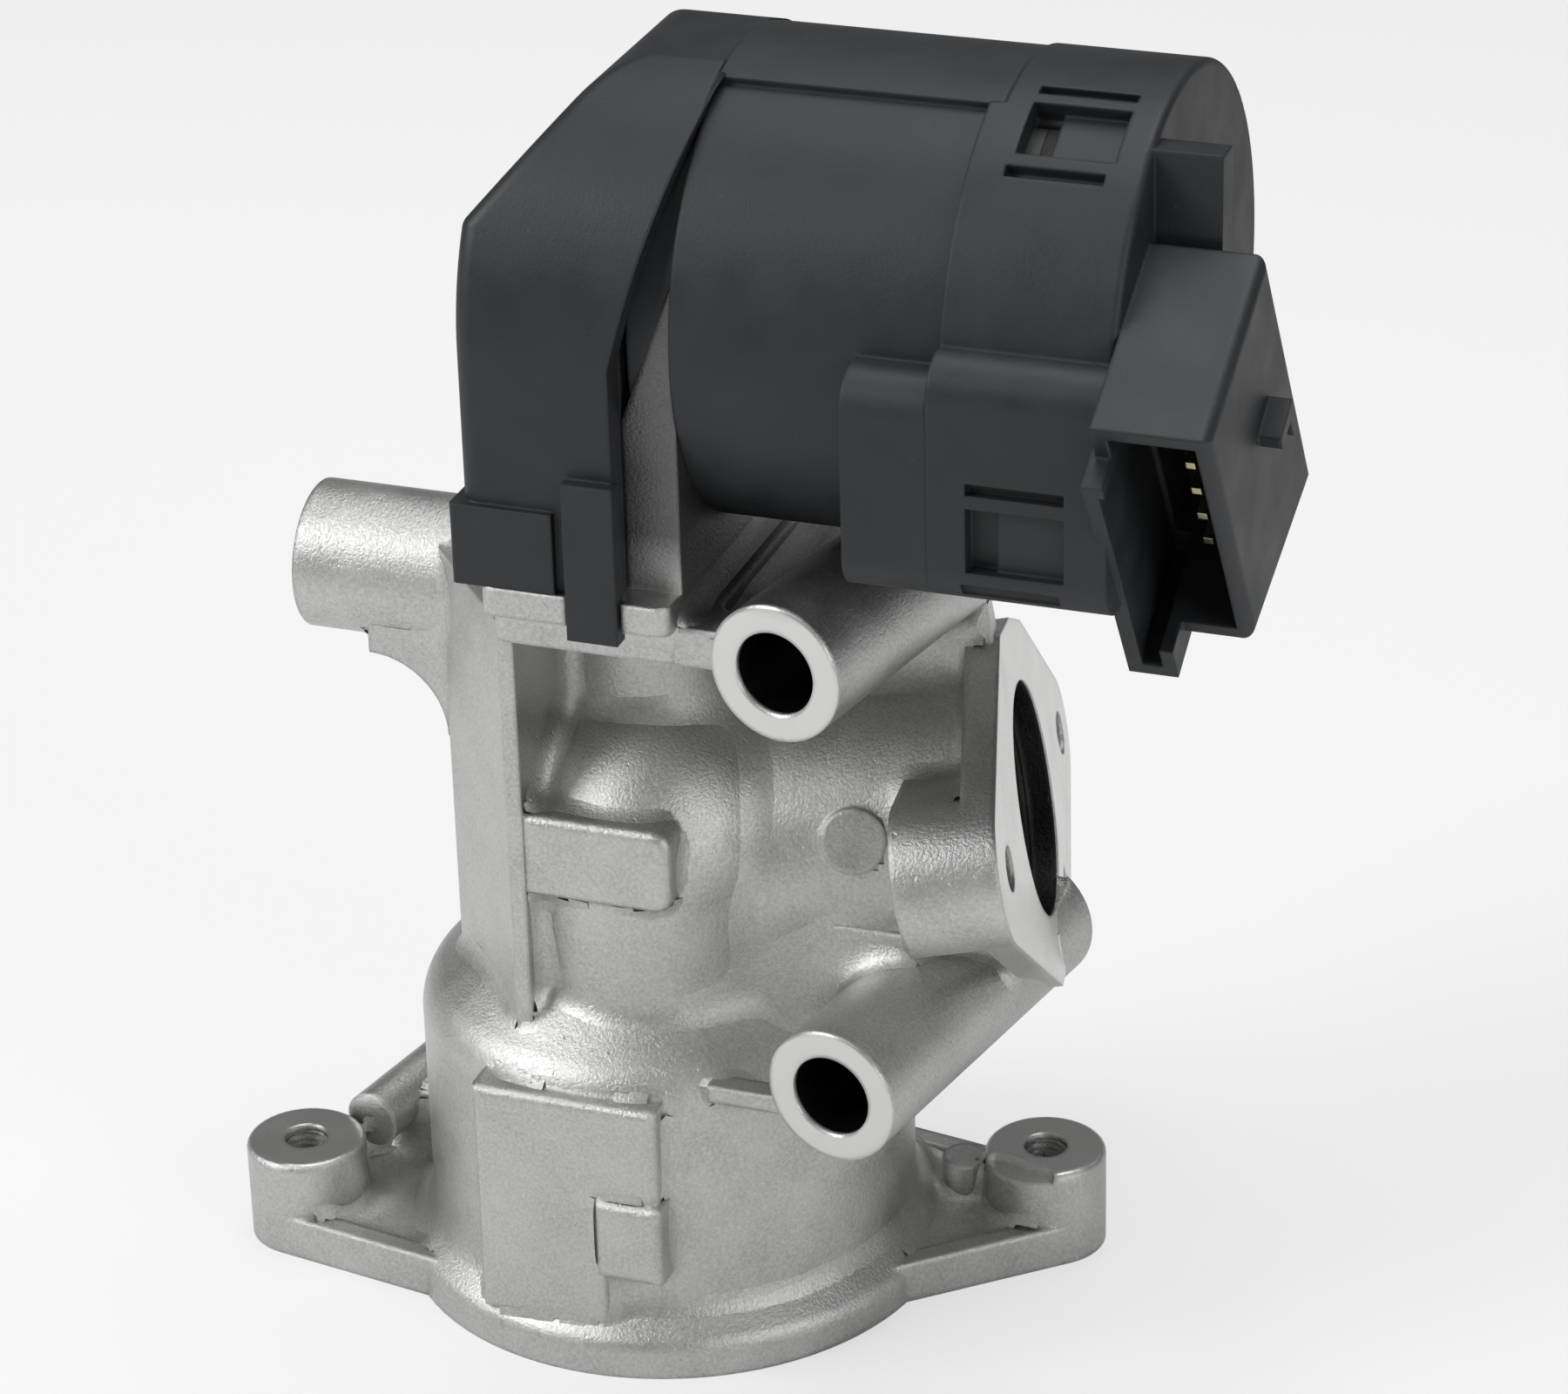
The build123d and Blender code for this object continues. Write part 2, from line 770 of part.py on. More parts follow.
def stem_seal():
    """The lip seal on the stem above the bush."""
    ring = Cylinder(seal_radius, seal_height, align=upright)
    bore = Cylinder(stem_radius + running_gap, seal_height, align=upright)
    groove = Pos(0, 0, seal_height / 2) * (
        Cylinder(seal_radius - seal_cup_wall, seal_height / 2, align=upright)
        - Cylinder(stem_radius + 2 * seal_cup_wall, seal_height / 2, align=upright)
    )
    return Pos(0, 0, bush_top) * (ring - bore - groove)


def seal_cup():
    """The pressed cup that holds the seal down; the spring stands on it."""
    wall = Cylinder(seal_radius + seal_cup_wall, spring_floor - bush_top, align=upright)
    room = Cylinder(seal_radius + press_gap, seal_height + press_gap, align=upright)
    hole = Cylinder(stem_radius + 3 * seal_cup_wall, spring_floor - bush_top, align=upright)
    return Pos(0, 0, bush_top) * (wall - room - hole)


def return_spring():
    """The spring that pushes the stem up and the head on to its seat."""
    start = spring_floor + spring_wire / 2
    rise = retainer_bottom - spring_wire / 2 - start
    path = Helix(rise / spring_turns, rise, spring_radius)
    wire = sweep(Plane(origin=path @ 0, z_dir=path % 0) * Circle(spring_wire / 2), path, is_frenet=True)
    return Pos(0, 0, start) * wire


def spring_retainer():
    """The washer on the stem's shoulder that carries the spring's upper end."""
    disc = Cylinder(retainer_radius, retainer_thickness, align=upright)
    bore = Cylinder(spigot_radius + press_gap, retainer_thickness, align=upright)
    return Pos(0, 0, retainer_bottom) * (disc - bore)


def tooth_outline(module, teeth):
    """One gear wheel's outline: involute flanks joined by short straight lands."""
    angle = math.radians(pressure_angle)
    pitch = module * teeth / 2
    base = pitch * math.cos(angle)
    tip = pitch + addendum * module
    root = pitch - dedendum * module
    half_pitch_angle = (math.pi * module / 2 - backlash) / (2 * pitch)
    flank_start = max(base, root + 0.05 * module)
    steps = 6
    flank = []
    for step in range(steps + 1):
        radius = flank_start + (tip - flank_start) * step / steps
        roll = math.acos(base / radius)
        half = half_pitch_angle + (math.tan(angle) - angle) - (math.tan(roll) - roll)
        flank.append((radius, half))
    points = []
    for tooth in range(teeth):
        centre = 2 * math.pi * tooth / teeth
        points.append((root, centre - flank[0][1]))
        points += [(radius, centre - half) for radius, half in flank]
        points += [(radius, centre + half) for radius, half in reversed(flank)]
        points.append((root, centre + flank[0][1]))
    return [(radius * math.cos(turn), radius * math.sin(turn)) for radius, turn in points]


def gear_disc(module, teeth, left, width, place, phase):
    """A toothed disc on an axis along X, with one tooth's middle at the phase from +Y."""
    face = make_face(Polyline(*tooth_outline(module, teeth), close=True))
    disc = extrude(Plane.YZ * Rot(0, 0, math.degrees(phase)) * face, width)
    return Pos(left, *place) * disc


def bearing_of(start, end):
    """The angle, from +Y, of the line between two axles."""
    return math.atan2(end[1] - start[1], end[0] - start[0])


def follow(start, end, teeth, next_teeth, phase):
    """The phase of a wheel whose tooth gap meets a tooth of the wheel before it."""
    line = bearing_of(start, end)
    offset = (line - phase) * teeth / next_teeth
    return line + math.pi + offset + math.pi / next_teeth


motor_place = (0.0, motor_height)
idler_at = idler_place()
output_at = (output_y, output_height)
output_phase = 0.0
sector_phase = 0.0
idler_phase = follow(output_at, idler_at, sector_teeth, idler_small_teeth, sector_phase)
pinion_phase = follow(idler_at, motor_place, idler_big_teeth, pinion_teeth, idler_phase)


def stem_rack():
    """The rack and the block that clamps it to the stem's thin end."""
    shape = block(
        -stem_radius, rack_left + rack_width,
        -stem_radius, stem_radius,
        stem_top, stem_top + foot_block_height,
    )
    shape += block(
        rack_left, rack_left + rack_width,
        -rack_pitch_plane + dedendum * output_module, rack_back,
        stem_top, output_height + rack_length / 2 + valve_lift / 2,
    )
    pitch = math.pi * output_module
    slope = math.tan(math.radians(pressure_angle))
    half_tooth = (pitch / 2 - backlash) / 2
    inner = half_tooth + dedendum * output_module * slope
    outer = half_tooth - addendum * output_module * slope
    root_y = -rack_pitch_plane + dedendum * output_module
    tip_y = -rack_pitch_plane - addendum * output_module
    middle = output_height + valve_lift / 2
    count = int(rack_length / pitch / 2)
    start = output_height + pitch / 2
    for number in range(-count, count + 2):
        z = start + number * pitch
        if abs(z - middle) < rack_length / 2:
            tooth = make_face(Polyline(
                (root_y, z - inner), (tip_y, z - outer), (tip_y, z + outer), (root_y, z + inner), close=True,
            ))
            shape += Pos(rack_left, 0, 0) * extrude(Plane.YZ * tooth, rack_width)
    hole = Cylinder(spigot_radius + press_gap, foot_block_height + 2, align=upright)
    return shape - Pos(0, 0, stem_top - 1) * hole


def output_gear():
    """The toothed sector and the small wheel that drives the rack, moulded in one piece."""
    sector = gear_disc(gear_module, sector_teeth, sector_left, sector_width, output_at, sector_phase)
    reach = sector_radius + 2 * gear_module
    low_turn, high_turn = (math.radians(turn) for turn in (sector_low, sector_high))
    mid_turn = (low_turn + high_turn) / 2
    corners = [(0, 0)] + [
        (2 * reach * math.cos(turn), 2 * reach * math.sin(turn))
        for turn in (low_turn, mid_turn, high_turn)
    ]
    wedge = extrude(Plane.YZ * make_face(Polyline(*corners, close=True)), sector_width)
    shape = sector & (Pos(sector_left, *output_at) * wedge)
    hub_end = rack_left + rack_width + gear_gap / 2
    shape += along((0, *output_at), (1, 0, 0), hub_radius, sector_left, hub_end)
    wheel_left = sector_left + sector_width
    width = rack_left + rack_width - wheel_left
    shape += gear_disc(output_module, output_teeth, wheel_left, width, output_at, output_phase)
    shape -= along((0, *output_at), (1, 0, 0), axle_radius + axle_gap, sector_left - 1, hub_end + 1)
    return shape


def idler_gear():
    """The large and the small wheel of the intermediate gear, moulded in one piece."""
    shape = gear_disc(gear_module, idler_big_teeth, idler_left, idler_width, idler_at, idler_phase)
    small_left = idler_left + idler_width
    width = sector_left + sector_width - small_left
    shape += gear_disc(gear_module, idler_small_teeth, small_left, width, idler_at, idler_phase)
    hub_end = rack_left + rack_width
    hub = along((0, *idler_at), (1, 0, 0), axle_radius + hub_wall, sector_left, hub_end)
    bore = along((0, *idler_at), (1, 0, 0), axle_radius + axle_gap, idler_left - 1, hub_end + 1)
    return shape + hub - bore


def axle(place, left):
    """A steel axle pressed into the casting's wall."""
    return along((0, *place), (1, 0, 0), axle_radius, left, wall_right - axle_stop)


def motor_pinion():
    """The brass pinion on the motor shaft."""
    shape = gear_disc(gear_module, pinion_teeth, idler_left, idler_width, motor_place, pinion_phase)
    return shape - motor_cylinder(shaft_radius + press_gap, idler_left - 1, idler_left + idler_width + 1)


magnet_left = can_left + magnet_start
core_left = magnet_left + core_setback
commutator_left = rear_bearing_left - commutator_gap - commutator_length


def motor_shaft():
    """The motor shaft, from the pinion to the rear bearing."""
    return motor_cylinder(shaft_radius, idler_left, rear_bearing_left + bearing_length - bearing_pocket)


def rotor_core():
    """The slotted steel core on the shaft."""
    shape = motor_cylinder(core_radius, core_left, core_left + core_length)
    shape -= motor_cylinder(shaft_radius + press_gap, core_left - 1, core_left + core_length + 1)
    for number in range(slot_count):
        slot = block(
            core_left - past, core_left + core_length + past,
            -slot_width / 2, slot_width / 2,
            core_radius - slot_depth, core_radius + past,
        )
        slot = Rot(360 / slot_count * number, 0, 0) * slot
        shape -= Pos(0, 0, motor_height) * slot
    return shape


def rotor_windings():
    """The copper winding heads at both ends of the core."""
    heads = []
    for left in (core_left - winding_length, core_left + core_length):
        ring = motor_cylinder(winding_radius, left, left + winding_length)
        ring = fillet(ring.edges(), winding_round)
        heads.append(ring - motor_cylinder(shaft_radius + press_gap, left - 1, left + winding_length + 1))
    return heads


def commutator():
    """The commutator, cut into one bar for each slot of the core."""
    right = commutator_left + commutator_length
    shape = motor_cylinder(commutator_radius, commutator_left, right)
    shape -= motor_cylinder(shaft_radius + press_gap, commutator_left - 1, right + 1)
    for number in range(slot_count):
        cut = block(
            commutator_left - past, right + past,
            -bar_gap / 2, bar_gap / 2,
            commutator_radius - bar_depth, commutator_radius + past,
        )
        shape -= Pos(0, 0, motor_height) * Rot(360 / slot_count * (number + 0.5), 0, 0) * cut
    return shape


def motor_magnets():
    """The two curved magnets against the inside of the can."""
    outer = can_radius - can_wall
    ring = motor_cylinder(outer, magnet_left, magnet_left + magnet_length)
    ring -= motor_cylinder(outer - magnet_thickness, magnet_left - 1, magnet_left + magnet_length + 1)
    half = math.radians(magnet_span / 2)
    reach = 3 * outer
    shapes = []
    for side in (-1, 1):
        corners = [
            (0, 0),
            (side * reach * math.cos(half), reach * math.sin(half)),
            (side * reach * math.cos(half), -reach * math.sin(half)),
        ]
        wedge = extrude(Plane.YZ * make_face(Polyline(*corners, close=True)), magnet_length)
        shapes.append(ring & (Pos(magnet_left, 0, motor_height) * wedge))
    return shapes


def motor_can():
    """The drawn steel can of the motor."""
    shape = motor_cylinder(can_radius, can_left, can_right)
    shape -= motor_cylinder(can_radius - can_wall, can_left + can_wall, can_right - can_wall)
    pocket_end = rear_bearing_left + bearing_length
    shape += motor_cylinder(bearing_radius + can_wall, rear_bearing_left, pocket_end)
    shape -= motor_cylinder(bearing_radius + press_gap, rear_bearing_left - 1, pocket_end - can_wall)
    shape -= motor_cylinder(bearing_radius + press_gap, can_left - 1, can_left + can_wall + 1)
    for side in (-1, 1):
        place = (0, side * motor_screw_offset, motor_height)
        shape -= along(place, (1, 0, 0), motor_screw_radius + press_gap, can_left - 1, can_left + can_wall + 1)
    return shape


def bearing(left):
    """A sintered bearing bush on the motor shaft."""
    shape = motor_cylinder(bearing_radius, left, left + bearing_length - can_wall)
    return shape - motor_cylinder(shaft_radius + running_gap, left - 1, left + bearing_length + 1)


def brush_holder():
    """The insulating plate in the can that carries the brushes."""
    left = commutator_left + (commutator_length - brush_thickness) / 2 - brush_plate
    shape = motor_cylinder(can_radius - can_wall - press_gap, left, left + brush_plate)
    shape -= motor_cylinder(commutator_radius + brush_clear, left - past, left + brush_plate + past)
    for side in (-1, 1):
        middle = side * (commutator_radius + brush_clear + brush_length / 2)
        shape += block(
            left, left + brush_plate + brush_thickness + brush_wall,
            middle - brush_guide / 2, middle + brush_guide / 2,
            motor_height - brush_width / 2 - brush_wall, motor_height + brush_width / 2 + brush_wall,
        )
    for side in (-1, 1):
        shape -= brush_block(side, press_gap, brush_clear)
    return shape


def brush_block(side, grow, ahead):
    """One brush, or the room for it, which reaches ahead of it to the commutator."""
    left = commutator_left + (commutator_length - brush_thickness) / 2
    near = commutator_radius + running_gap
    ends = sorted((side * (near - ahead), side * (near + brush_length + grow)))
    half = brush_width / 2 + grow
    return block(
        left - grow, left + brush_thickness + grow,
        *ends,
        motor_height - half, motor_height + half,
    )


def brushes():
    """The two carbon brushes."""
    return [brush_block(side, 0, 0) for side in (-1, 1)]


def motor_screws():
    """The two screws that hold the can to the casting's wall."""
    shapes = []
    for side in (-1, 1):
        place = (0, side * motor_screw_offset, motor_height)
        left = wall_left - motor_screw_head_height
        head = along(place, (1, 0, 0), motor_screw_head, left, wall_left)
        slot = along(place, (1, 0, 0), motor_screw_radius * 0.7, left - 1, left + motor_screw_head_height / 2)
        shank = along(place, (1, 0, 0), motor_screw_radius, wall_left, wall_left + wall_thickness + can_wall)
        shapes.append(head + shank - slot)
    return shapes


def cover_outline(inset):
    """The cover's outline seen from the front, moved inwards, and run past its open sides."""
    floor = deck_top - cover_half
    beyond = wall_right + cover_half
    outline = Polyline(
        (-cover_left, floor),
        (-cover_left, cover_slope_foot),
        (cover_slope_x, cover_top),
        (beyond, cover_top),
        (beyond, floor),
        close=True,
    )
    face = make_face(outline)
    foot, shoulder = face.vertices().sort_by(Axis.X)[1:3]
    face = fillet(shoulder, cover_shoulder)
    if inset > 0:
        face = offset(face, -inset)
    return extrude(Plane.XZ * face, 2 * cover_half, both=True)


def gear_cover():
    """The moulded cover over the gears, open to the casting's wall and deck."""
    slab = side_slab(cover_half, deck_top + cover_arch_drop, -cover_left, cover_edge_right)
    shape = Pos(0, 0, -cover_arch_drop) * slab & cover_outline(0)
    far = 2 * cover_half
    shape -= block(-far, far, -far, far, deck_top - cover_half, deck_top)
    left_edges = shape.faces().filter_by(lambda face: face.normal_at().X < -0.3).edges()
    shape = fillet(left_edges.filter_by(lambda edge: edge.center().Z > deck_top + past), cover_round)
    edge = Polyline(
        (wall_left, deck_top - past),
        (wall_left, cover_edge_low),
        (cover_edge_right, cover_edge_top),
        (cover_edge_right + past, cover_edge_top),
        (cover_edge_right + past, deck_top - past),
        close=True,
    )
    shape -= extrude(Plane.XZ * make_face(edge), 2 * cover_half, both=True)
    room = side_slab(gear_room, deck_top - past, -cover_left, wall_left - gasket_thickness)
    shape -= room & cover_outline(cover_wall)
    lap = wall_radius + cover_lap_gap
    shape -= side_slab(lap, deck_top - past, wall_left - gasket_thickness, cover_edge_right + past)
    over_housing = housing_radius + strip_height + cover_lap_gap
    shape -= motor_cylinder(over_housing, wall_right, cover_edge_right + past)
    return shape + cover_trim()


def cover_trim():
    """The thicker band at the cover's foot and the snap tongue beside its slot."""
    outer = cover_half + foot_band_depth
    left = -cover_left - foot_band_depth
    band_top = deck_top + foot_band_height
    band_right = tongue_left - tongue_slot
    band = block(left, band_right, -outer, -cover_half + union_depth, deck_top, band_top)
    band = fillet(band.edges().filter_by(Axis.Z).sort_by(Axis.X)[:2], foot_band_depth / 2)
    side = block(left, -cover_left + union_depth, -outer + union_depth, outer - past, deck_top, band_top)
    tongue = block(
        tongue_left, tongue_left + tongue_width,
        -cover_half - tongue_depth, -cover_half + union_depth,
        deck_top - tongue_drop, deck_top + tongue_rise,
    )
    return band + side + tongue


def cover_gasket():
    """The seal between the cover and the casting's wall."""
    ring = side_slab(wall_radius, deck_top, wall_left - gasket_thickness, wall_left)
    return ring - side_slab(gear_room, deck_top - past, wall_left - 2 * past, wall_left + past)


def motor_housing():
    """The plastic sleeve over the motor, with its raised strip, its spigot and its block."""
    shape = motor_cylinder(housing_radius, wall_right, housing_end)
    shape += strip_sector(housing_radius + strip_height, wall_right, housing_end + strip_overhang)
    shape += front_box(box_left, housing_end, block_drop)
    spigot = cap_radius - cap_wall - spigot_gap
    spigot_end = housing_end + spigot_length
    shape += motor_cylinder(spigot, housing_end - past, spigot_end)
    shape -= motor_cylinder(housing_radius - housing_wall, wall_right - past, spigot_end + past)
    lip = motor_cylinder(wall_radius, wall_right - lip_reach, wall_right + past)
    lip -= motor_cylinder(wall_radius - lip_thickness + press_gap, wall_left, wall_right + 2 * past)
    return shape + (lip & Pos(press_gap, 0, press_gap) * above_lip_line())


def strip_sector(radius, left, right):
    """The part of a cylinder on the motor axis that lies under the raised strip."""
    middle = math.radians(strip_front - strip_sweep / 2)
    half = math.radians(strip_sweep / 2)
    corners = [(0, 0)] + [
        (2 * radius * math.cos(turn), 2 * radius * math.sin(turn))
        for turn in (middle - half, middle, middle + half)
    ]
    wedge = extrude(Plane.YZ * make_face(Polyline(*corners, close=True)), right - left)
    return motor_cylinder(radius, left, right) & (Pos(left, 0, motor_height) * wedge)


def front_box(left, right, drop):
    """The box moulded on the lower front, solid; drop lowers its top edge."""
    box = block(left, right, -box_front, -box_front / 4, box_bottom, box_top - drop)
    edges = box.edges().filter_by(Axis.X).group_by(Axis.Y)[0]
    return fillet(edges, box_round)


def socket_frame():
    """The connector's own directions: X along the motor, Y up the socket, Z out of it."""
    tilt = math.radians(socket_tilt)
    return Plane(
        origin=(0, 0, motor_height),
        x_dir=(1, 0, 0),
        z_dir=(0, -math.cos(tilt), -math.sin(tilt)),
    )


def socket_box(x0, x1, low_w, high_w, c0, c1):
    """A block in the connector's own directions, out from the motor axis."""
    return socket_frame() * block(x0, x1, low_w, high_w, c0, c1)


def end_cap():
    """The cap over the motor's far end, with its latch windows and the connector shroud."""
    shape = motor_cylinder(cap_radius, housing_end, cap_right)
    shape = fillet(shape.edges().sort_by(Axis.X)[-1], cap_round)
    shape += front_box(housing_end, socket_left + union_depth, 0)
    outline = Polyline(
        (-socket_low, socket_rim),
        (-socket_low - socket_taper, socket_root),
        (socket_high - socket_taper / 3, socket_root),
        (socket_high, socket_rim),
        close=True,
    )
    shroud = extrude(Plane.YZ * make_face(outline), socket_right - socket_left)
    shroud = socket_frame() * Pos(socket_left, 0, 0) * shroud
    shroud = fillet(shroud.edges().group_by(Axis.X)[-1], socket_round)
    key_left = socket_left - socket_key_step
    key_low = -socket_low - socket_key_drop
    key_high = socket_high - socket_key_top
    shape += shroud
    key_right = socket_left + socket_key_width
    shape += socket_box(key_left, key_right, key_low, key_high, socket_floor, socket_left_rim)
    shape += block(
        cap_right - cap_end, cap_right + spine_reach,
        -spine_offset - spine_thickness, -spine_offset,
        motor_height + spine_foot, motor_height + spine_top,
    )
    shape -= motor_cylinder(cap_radius - cap_wall, housing_end - past, cap_right - cap_end)
    beyond = socket_left_rim + past
    shape -= socket_box(
        socket_left + socket_wall, socket_right - socket_wall,
        -socket_low + socket_wall, socket_high - socket_wall,
        socket_floor, beyond,
    )
    shape -= socket_box(
        key_left + socket_wall, socket_left + 2 * socket_wall,
        key_low + socket_wall, key_high - socket_wall,
        socket_floor + socket_key_floor, beyond,
    )
    shape += lock_nub()
    shape -= pin_blocks(press_gap)
    shape -= strip_sector(cap_radius + past, housing_end - past, housing_end + strip_overhang + cover_lap_gap)
    return shape - upper_latch() - lower_latch()


def lock_nub():
    """The hook on the shroud's side that locks the plug."""
    left, right = socket_right - union_depth, socket_right + nub_height
    tall = socket_box(left, right, nub_low, nub_high, nub_reach, nub_reach + nub_bar)
    return tall + socket_box(left, right, nub_high - nub_bar, nub_high, nub_reach, nub_reach + nub_width)


def latch_cut(frame, edge, depth_here):
    """A latch window with a deeper slot beside the catch, and a slot above and below it.
    The frame lies on the surface, with X along the motor and Z outwards."""
    left = housing_end + edge
    half = latch_height / 2
    outer = latch_height
    cut = block(left, left + latch_width, -half, half, -latch_depth, outer)
    cut += block(left, left + latch_catch, -half, half, -latch_deep, outer)
    low = half + latch_slot_gap
    for bottom, shift in ((low, 0.0), (-low - latch_slot, 0.6)):
        cut += block(left - shift, left + latch_width - shift, bottom, bottom + latch_slot, -depth_here, outer)
    return frame * cut


def upper_latch():
    """The latch window on the cap's upper front."""
    turn = Rot(upper_latch_angle - 90, 0, 0)
    frame = Pos(0, 0, motor_height) * turn * Pos(0, 0, cap_radius - latch_depth / 2)
    return latch_cut(frame, upper_latch_edge, latch_depth)


def lower_latch():
    """The latch window on the front of the box."""
    frame = Pos(0, -box_front, lower_latch_height) * Rot(90, 0, 0)
    return latch_cut(frame, lower_latch_edge, latch_depth)


def pin_blocks(grow):
    """The connector pins in a row up the socket, or the holes they are pressed into."""
    middle_x = socket_right - socket_wall - pin_offset
    middle_w = (socket_high - socket_low) / 2
    pins = []
    for number in range(pin_count):
        w = middle_w + (number - (pin_count - 1) / 2) * pin_pitch
        half = pin_size / 2 + grow
        pins.append(socket_box(
            middle_x - half, middle_x + half,
            w - half, w + half,
            socket_floor - pin_root, socket_floor + pin_reach,
        ))
    return pins


def sensor_magnet():
    """The small magnet on the output wheel's face that the sensor reads."""
    right = sector_left
    shape = along((0, *output_at), (1, 0, 0), magnet_ring_radius, right - magnet_ring_height, right)
    hole_start = right - magnet_ring_height - 1
    return shape - along((0, *output_at), (1, 0, 0), axle_radius + axle_gap, hole_start, right + 1)


def sensor_board():
    """The position sensor's board on the inside of the cover."""
    left = -cover_left + cover_wall
    board = block(
        left, left + board_thickness,
        output_at[0] - board_width / 2, output_at[0] + board_width / 2,
        output_at[1] - board_width / 2, output_at[1] + board_width / 2,
    )
    return board


def housing_seal():
    """The flat ring between the motor housing's spigot and the end cap."""
    outer = cap_radius - cap_wall - spigot_gap
    left = housing_end + spigot_length
    ring = motor_cylinder(outer, left, left + seal_ring)
    return ring - motor_cylinder(housing_radius - housing_wall, left - past, left + seal_ring + past)


nodes = {
    "valve_body": valve_body(),
    "valve_seat": valve_seat(),
    "valve_poppet": valve_poppet(),
    "stem_bush": stem_bush(),
    "stem_seal": stem_seal(),
    "seal_cup": seal_cup(),
    "return_spring": return_spring(),
    "spring_retainer": spring_retainer(),
    "stem_rack": stem_rack(),
    "output_gear": output_gear(),
    "output_axle": axle(output_at, sector_left - magnet_ring_height),
    "idler_gear": idler_gear(),
    "idler_axle": axle(idler_at, idler_left),
    "motor_pinion": motor_pinion(),
    "motor_shaft": motor_shaft(),
    "rotor_core": rotor_core(),
    "rotor_windings": rotor_windings(),
    "commutator": commutator(),
    "motor_magnets": motor_magnets(),
    "motor_can": motor_can(),
    "front_bearing": bearing(can_left - bearing_length + 2 * can_wall + past),
    "rear_bearing": bearing(rear_bearing_left),
    "brush_holder": brush_holder(),
    "brushes": brushes(),
    "motor_screws": motor_screws(),
    "gear_cover": gear_cover(),
    "cover_gasket": cover_gasket(),
    "motor_housing": motor_housing(),
    "housing_seal": housing_seal(),
    "end_cap": end_cap(),
    "connector_pins": pin_blocks(0),
    "sensor_magnet": sensor_magnet(),
    "sensor_board": sensor_board(),
}

os.makedirs("parts", exist_ok=True)
for name, shape in nodes.items():
    whole = Compound(shape) if isinstance(shape, list) else shape
    export_step(whole, f"parts/{name}.step")
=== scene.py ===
import math

import bpy
import numpy as np
from mathutils import Matrix, Vector


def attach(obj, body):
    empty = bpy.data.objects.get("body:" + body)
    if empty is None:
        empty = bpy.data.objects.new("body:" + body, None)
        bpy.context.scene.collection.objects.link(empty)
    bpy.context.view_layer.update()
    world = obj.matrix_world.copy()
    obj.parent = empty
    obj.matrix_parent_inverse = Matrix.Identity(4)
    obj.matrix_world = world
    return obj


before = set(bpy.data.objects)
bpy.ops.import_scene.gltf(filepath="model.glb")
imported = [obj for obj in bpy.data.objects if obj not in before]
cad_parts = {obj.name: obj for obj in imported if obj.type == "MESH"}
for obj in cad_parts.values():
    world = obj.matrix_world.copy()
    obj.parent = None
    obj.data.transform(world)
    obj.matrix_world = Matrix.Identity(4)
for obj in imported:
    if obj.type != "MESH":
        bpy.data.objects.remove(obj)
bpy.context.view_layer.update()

MM = 0.001
WHITE = (1.0, 1.0, 1.0, 1.0)

# The fitted camera: its place in metres, its lens and sensor in millimetres

CAMERA_PLACE = (0.1912, -0.4739, 0.3230)
CAMERA_TURN = math.radians(20.4)
CAMERA_RISE = math.radians(26.5)
CAMERA_ROLL = math.radians(1.6)
CAMERA_LENS = 119.2
CAMERA_SENSOR = 36.0
NEAREST_SEEN = 0.01
FARTHEST_SEEN = 20.0

# The surround and the floor, in metres

SURROUND_STRENGTH = 0.17
FLOOR_RADIUS = 2.5
FLOOR_HUB = 0.001
FLOOR_RINGS = 6
FLOOR_TURNS = 64
FLOOR_COLOUR = (0.86, 0.86, 0.86, 1.0)
FLOOR_WHITE_SHARE = 0.6

# Places on the casting as the solids have them, in metres

DECK_TOP = 94.0 * MM
LOWER_BOSS = (29.85 * MM, -29.29 * MM, 39.8 * MM)
UPPER_BOSS = (24.46 * MM, -28.24 * MM, 88.4 * MM)
BOSS_TURN = math.radians(78.9)
BOSS_OUTWARDS = (-math.cos(BOSS_TURN), -math.sin(BOSS_TURN), 0.0)
BOSS_INWARDS = (math.cos(BOSS_TURN), math.sin(BOSS_TURN), 0.0)
BOSS_LENGTH = 50.0 * MM
OUTLET_START = (0.0, 0.0, 50.4 * MM)
OUTLET_TURN = math.radians(13.0)
OUTLET_RISE = math.radians(10.0)
OUTLET_AXIS = (
    math.cos(OUTLET_TURN) * math.cos(OUTLET_RISE),
    math.sin(OUTLET_TURN) * math.cos(OUTLET_RISE),
    math.sin(OUTLET_RISE),
)
OUTLET_REACH = 42.4 * MM
OUTLET_FACE = tuple(Vector(OUTLET_START) + Vector(OUTLET_AXIS) * OUTLET_REACH)
OUTLET_SCREW_OFFSET = 26.0 * MM
OUTLET_SCREW_TILT = math.radians(11.0)
STUB_HEIGHT = 81.2 * MM
STUB_END = 39.2 * MM
STUB_HOLE_END = 30.0 * MM
EAR_DISTANCE = 42.6 * MM
EAR_TURN = math.radians(16.0)
EAR_TOP = 11.8 * MM
RIGHT_EAR = (EAR_DISTANCE * math.cos(EAR_TURN), EAR_DISTANCE * math.sin(EAR_TURN))
LEFT_EAR = (-RIGHT_EAR[0], -RIGHT_EAR[1])
UPWARDS = (0.0, 0.0, 1.0)
DOWNWARDS = (0.0, 0.0, -1.0)
LEFTWARDS = (-1.0, 0.0, 0.0)

# The soft corners: how finely they are laid out, how far they are relaxed and set back

FILLET_CUBE = 0.75 * MM
FILLET_MERGE = 0.01 * MM
FILLET_SETBACK = 0.1 * MM
NARROW_ROUNDS = 14
BROAD_ROUNDS = 66

# Where the relaxing is broad, in millimetres: each pair is where it starts and where it is full

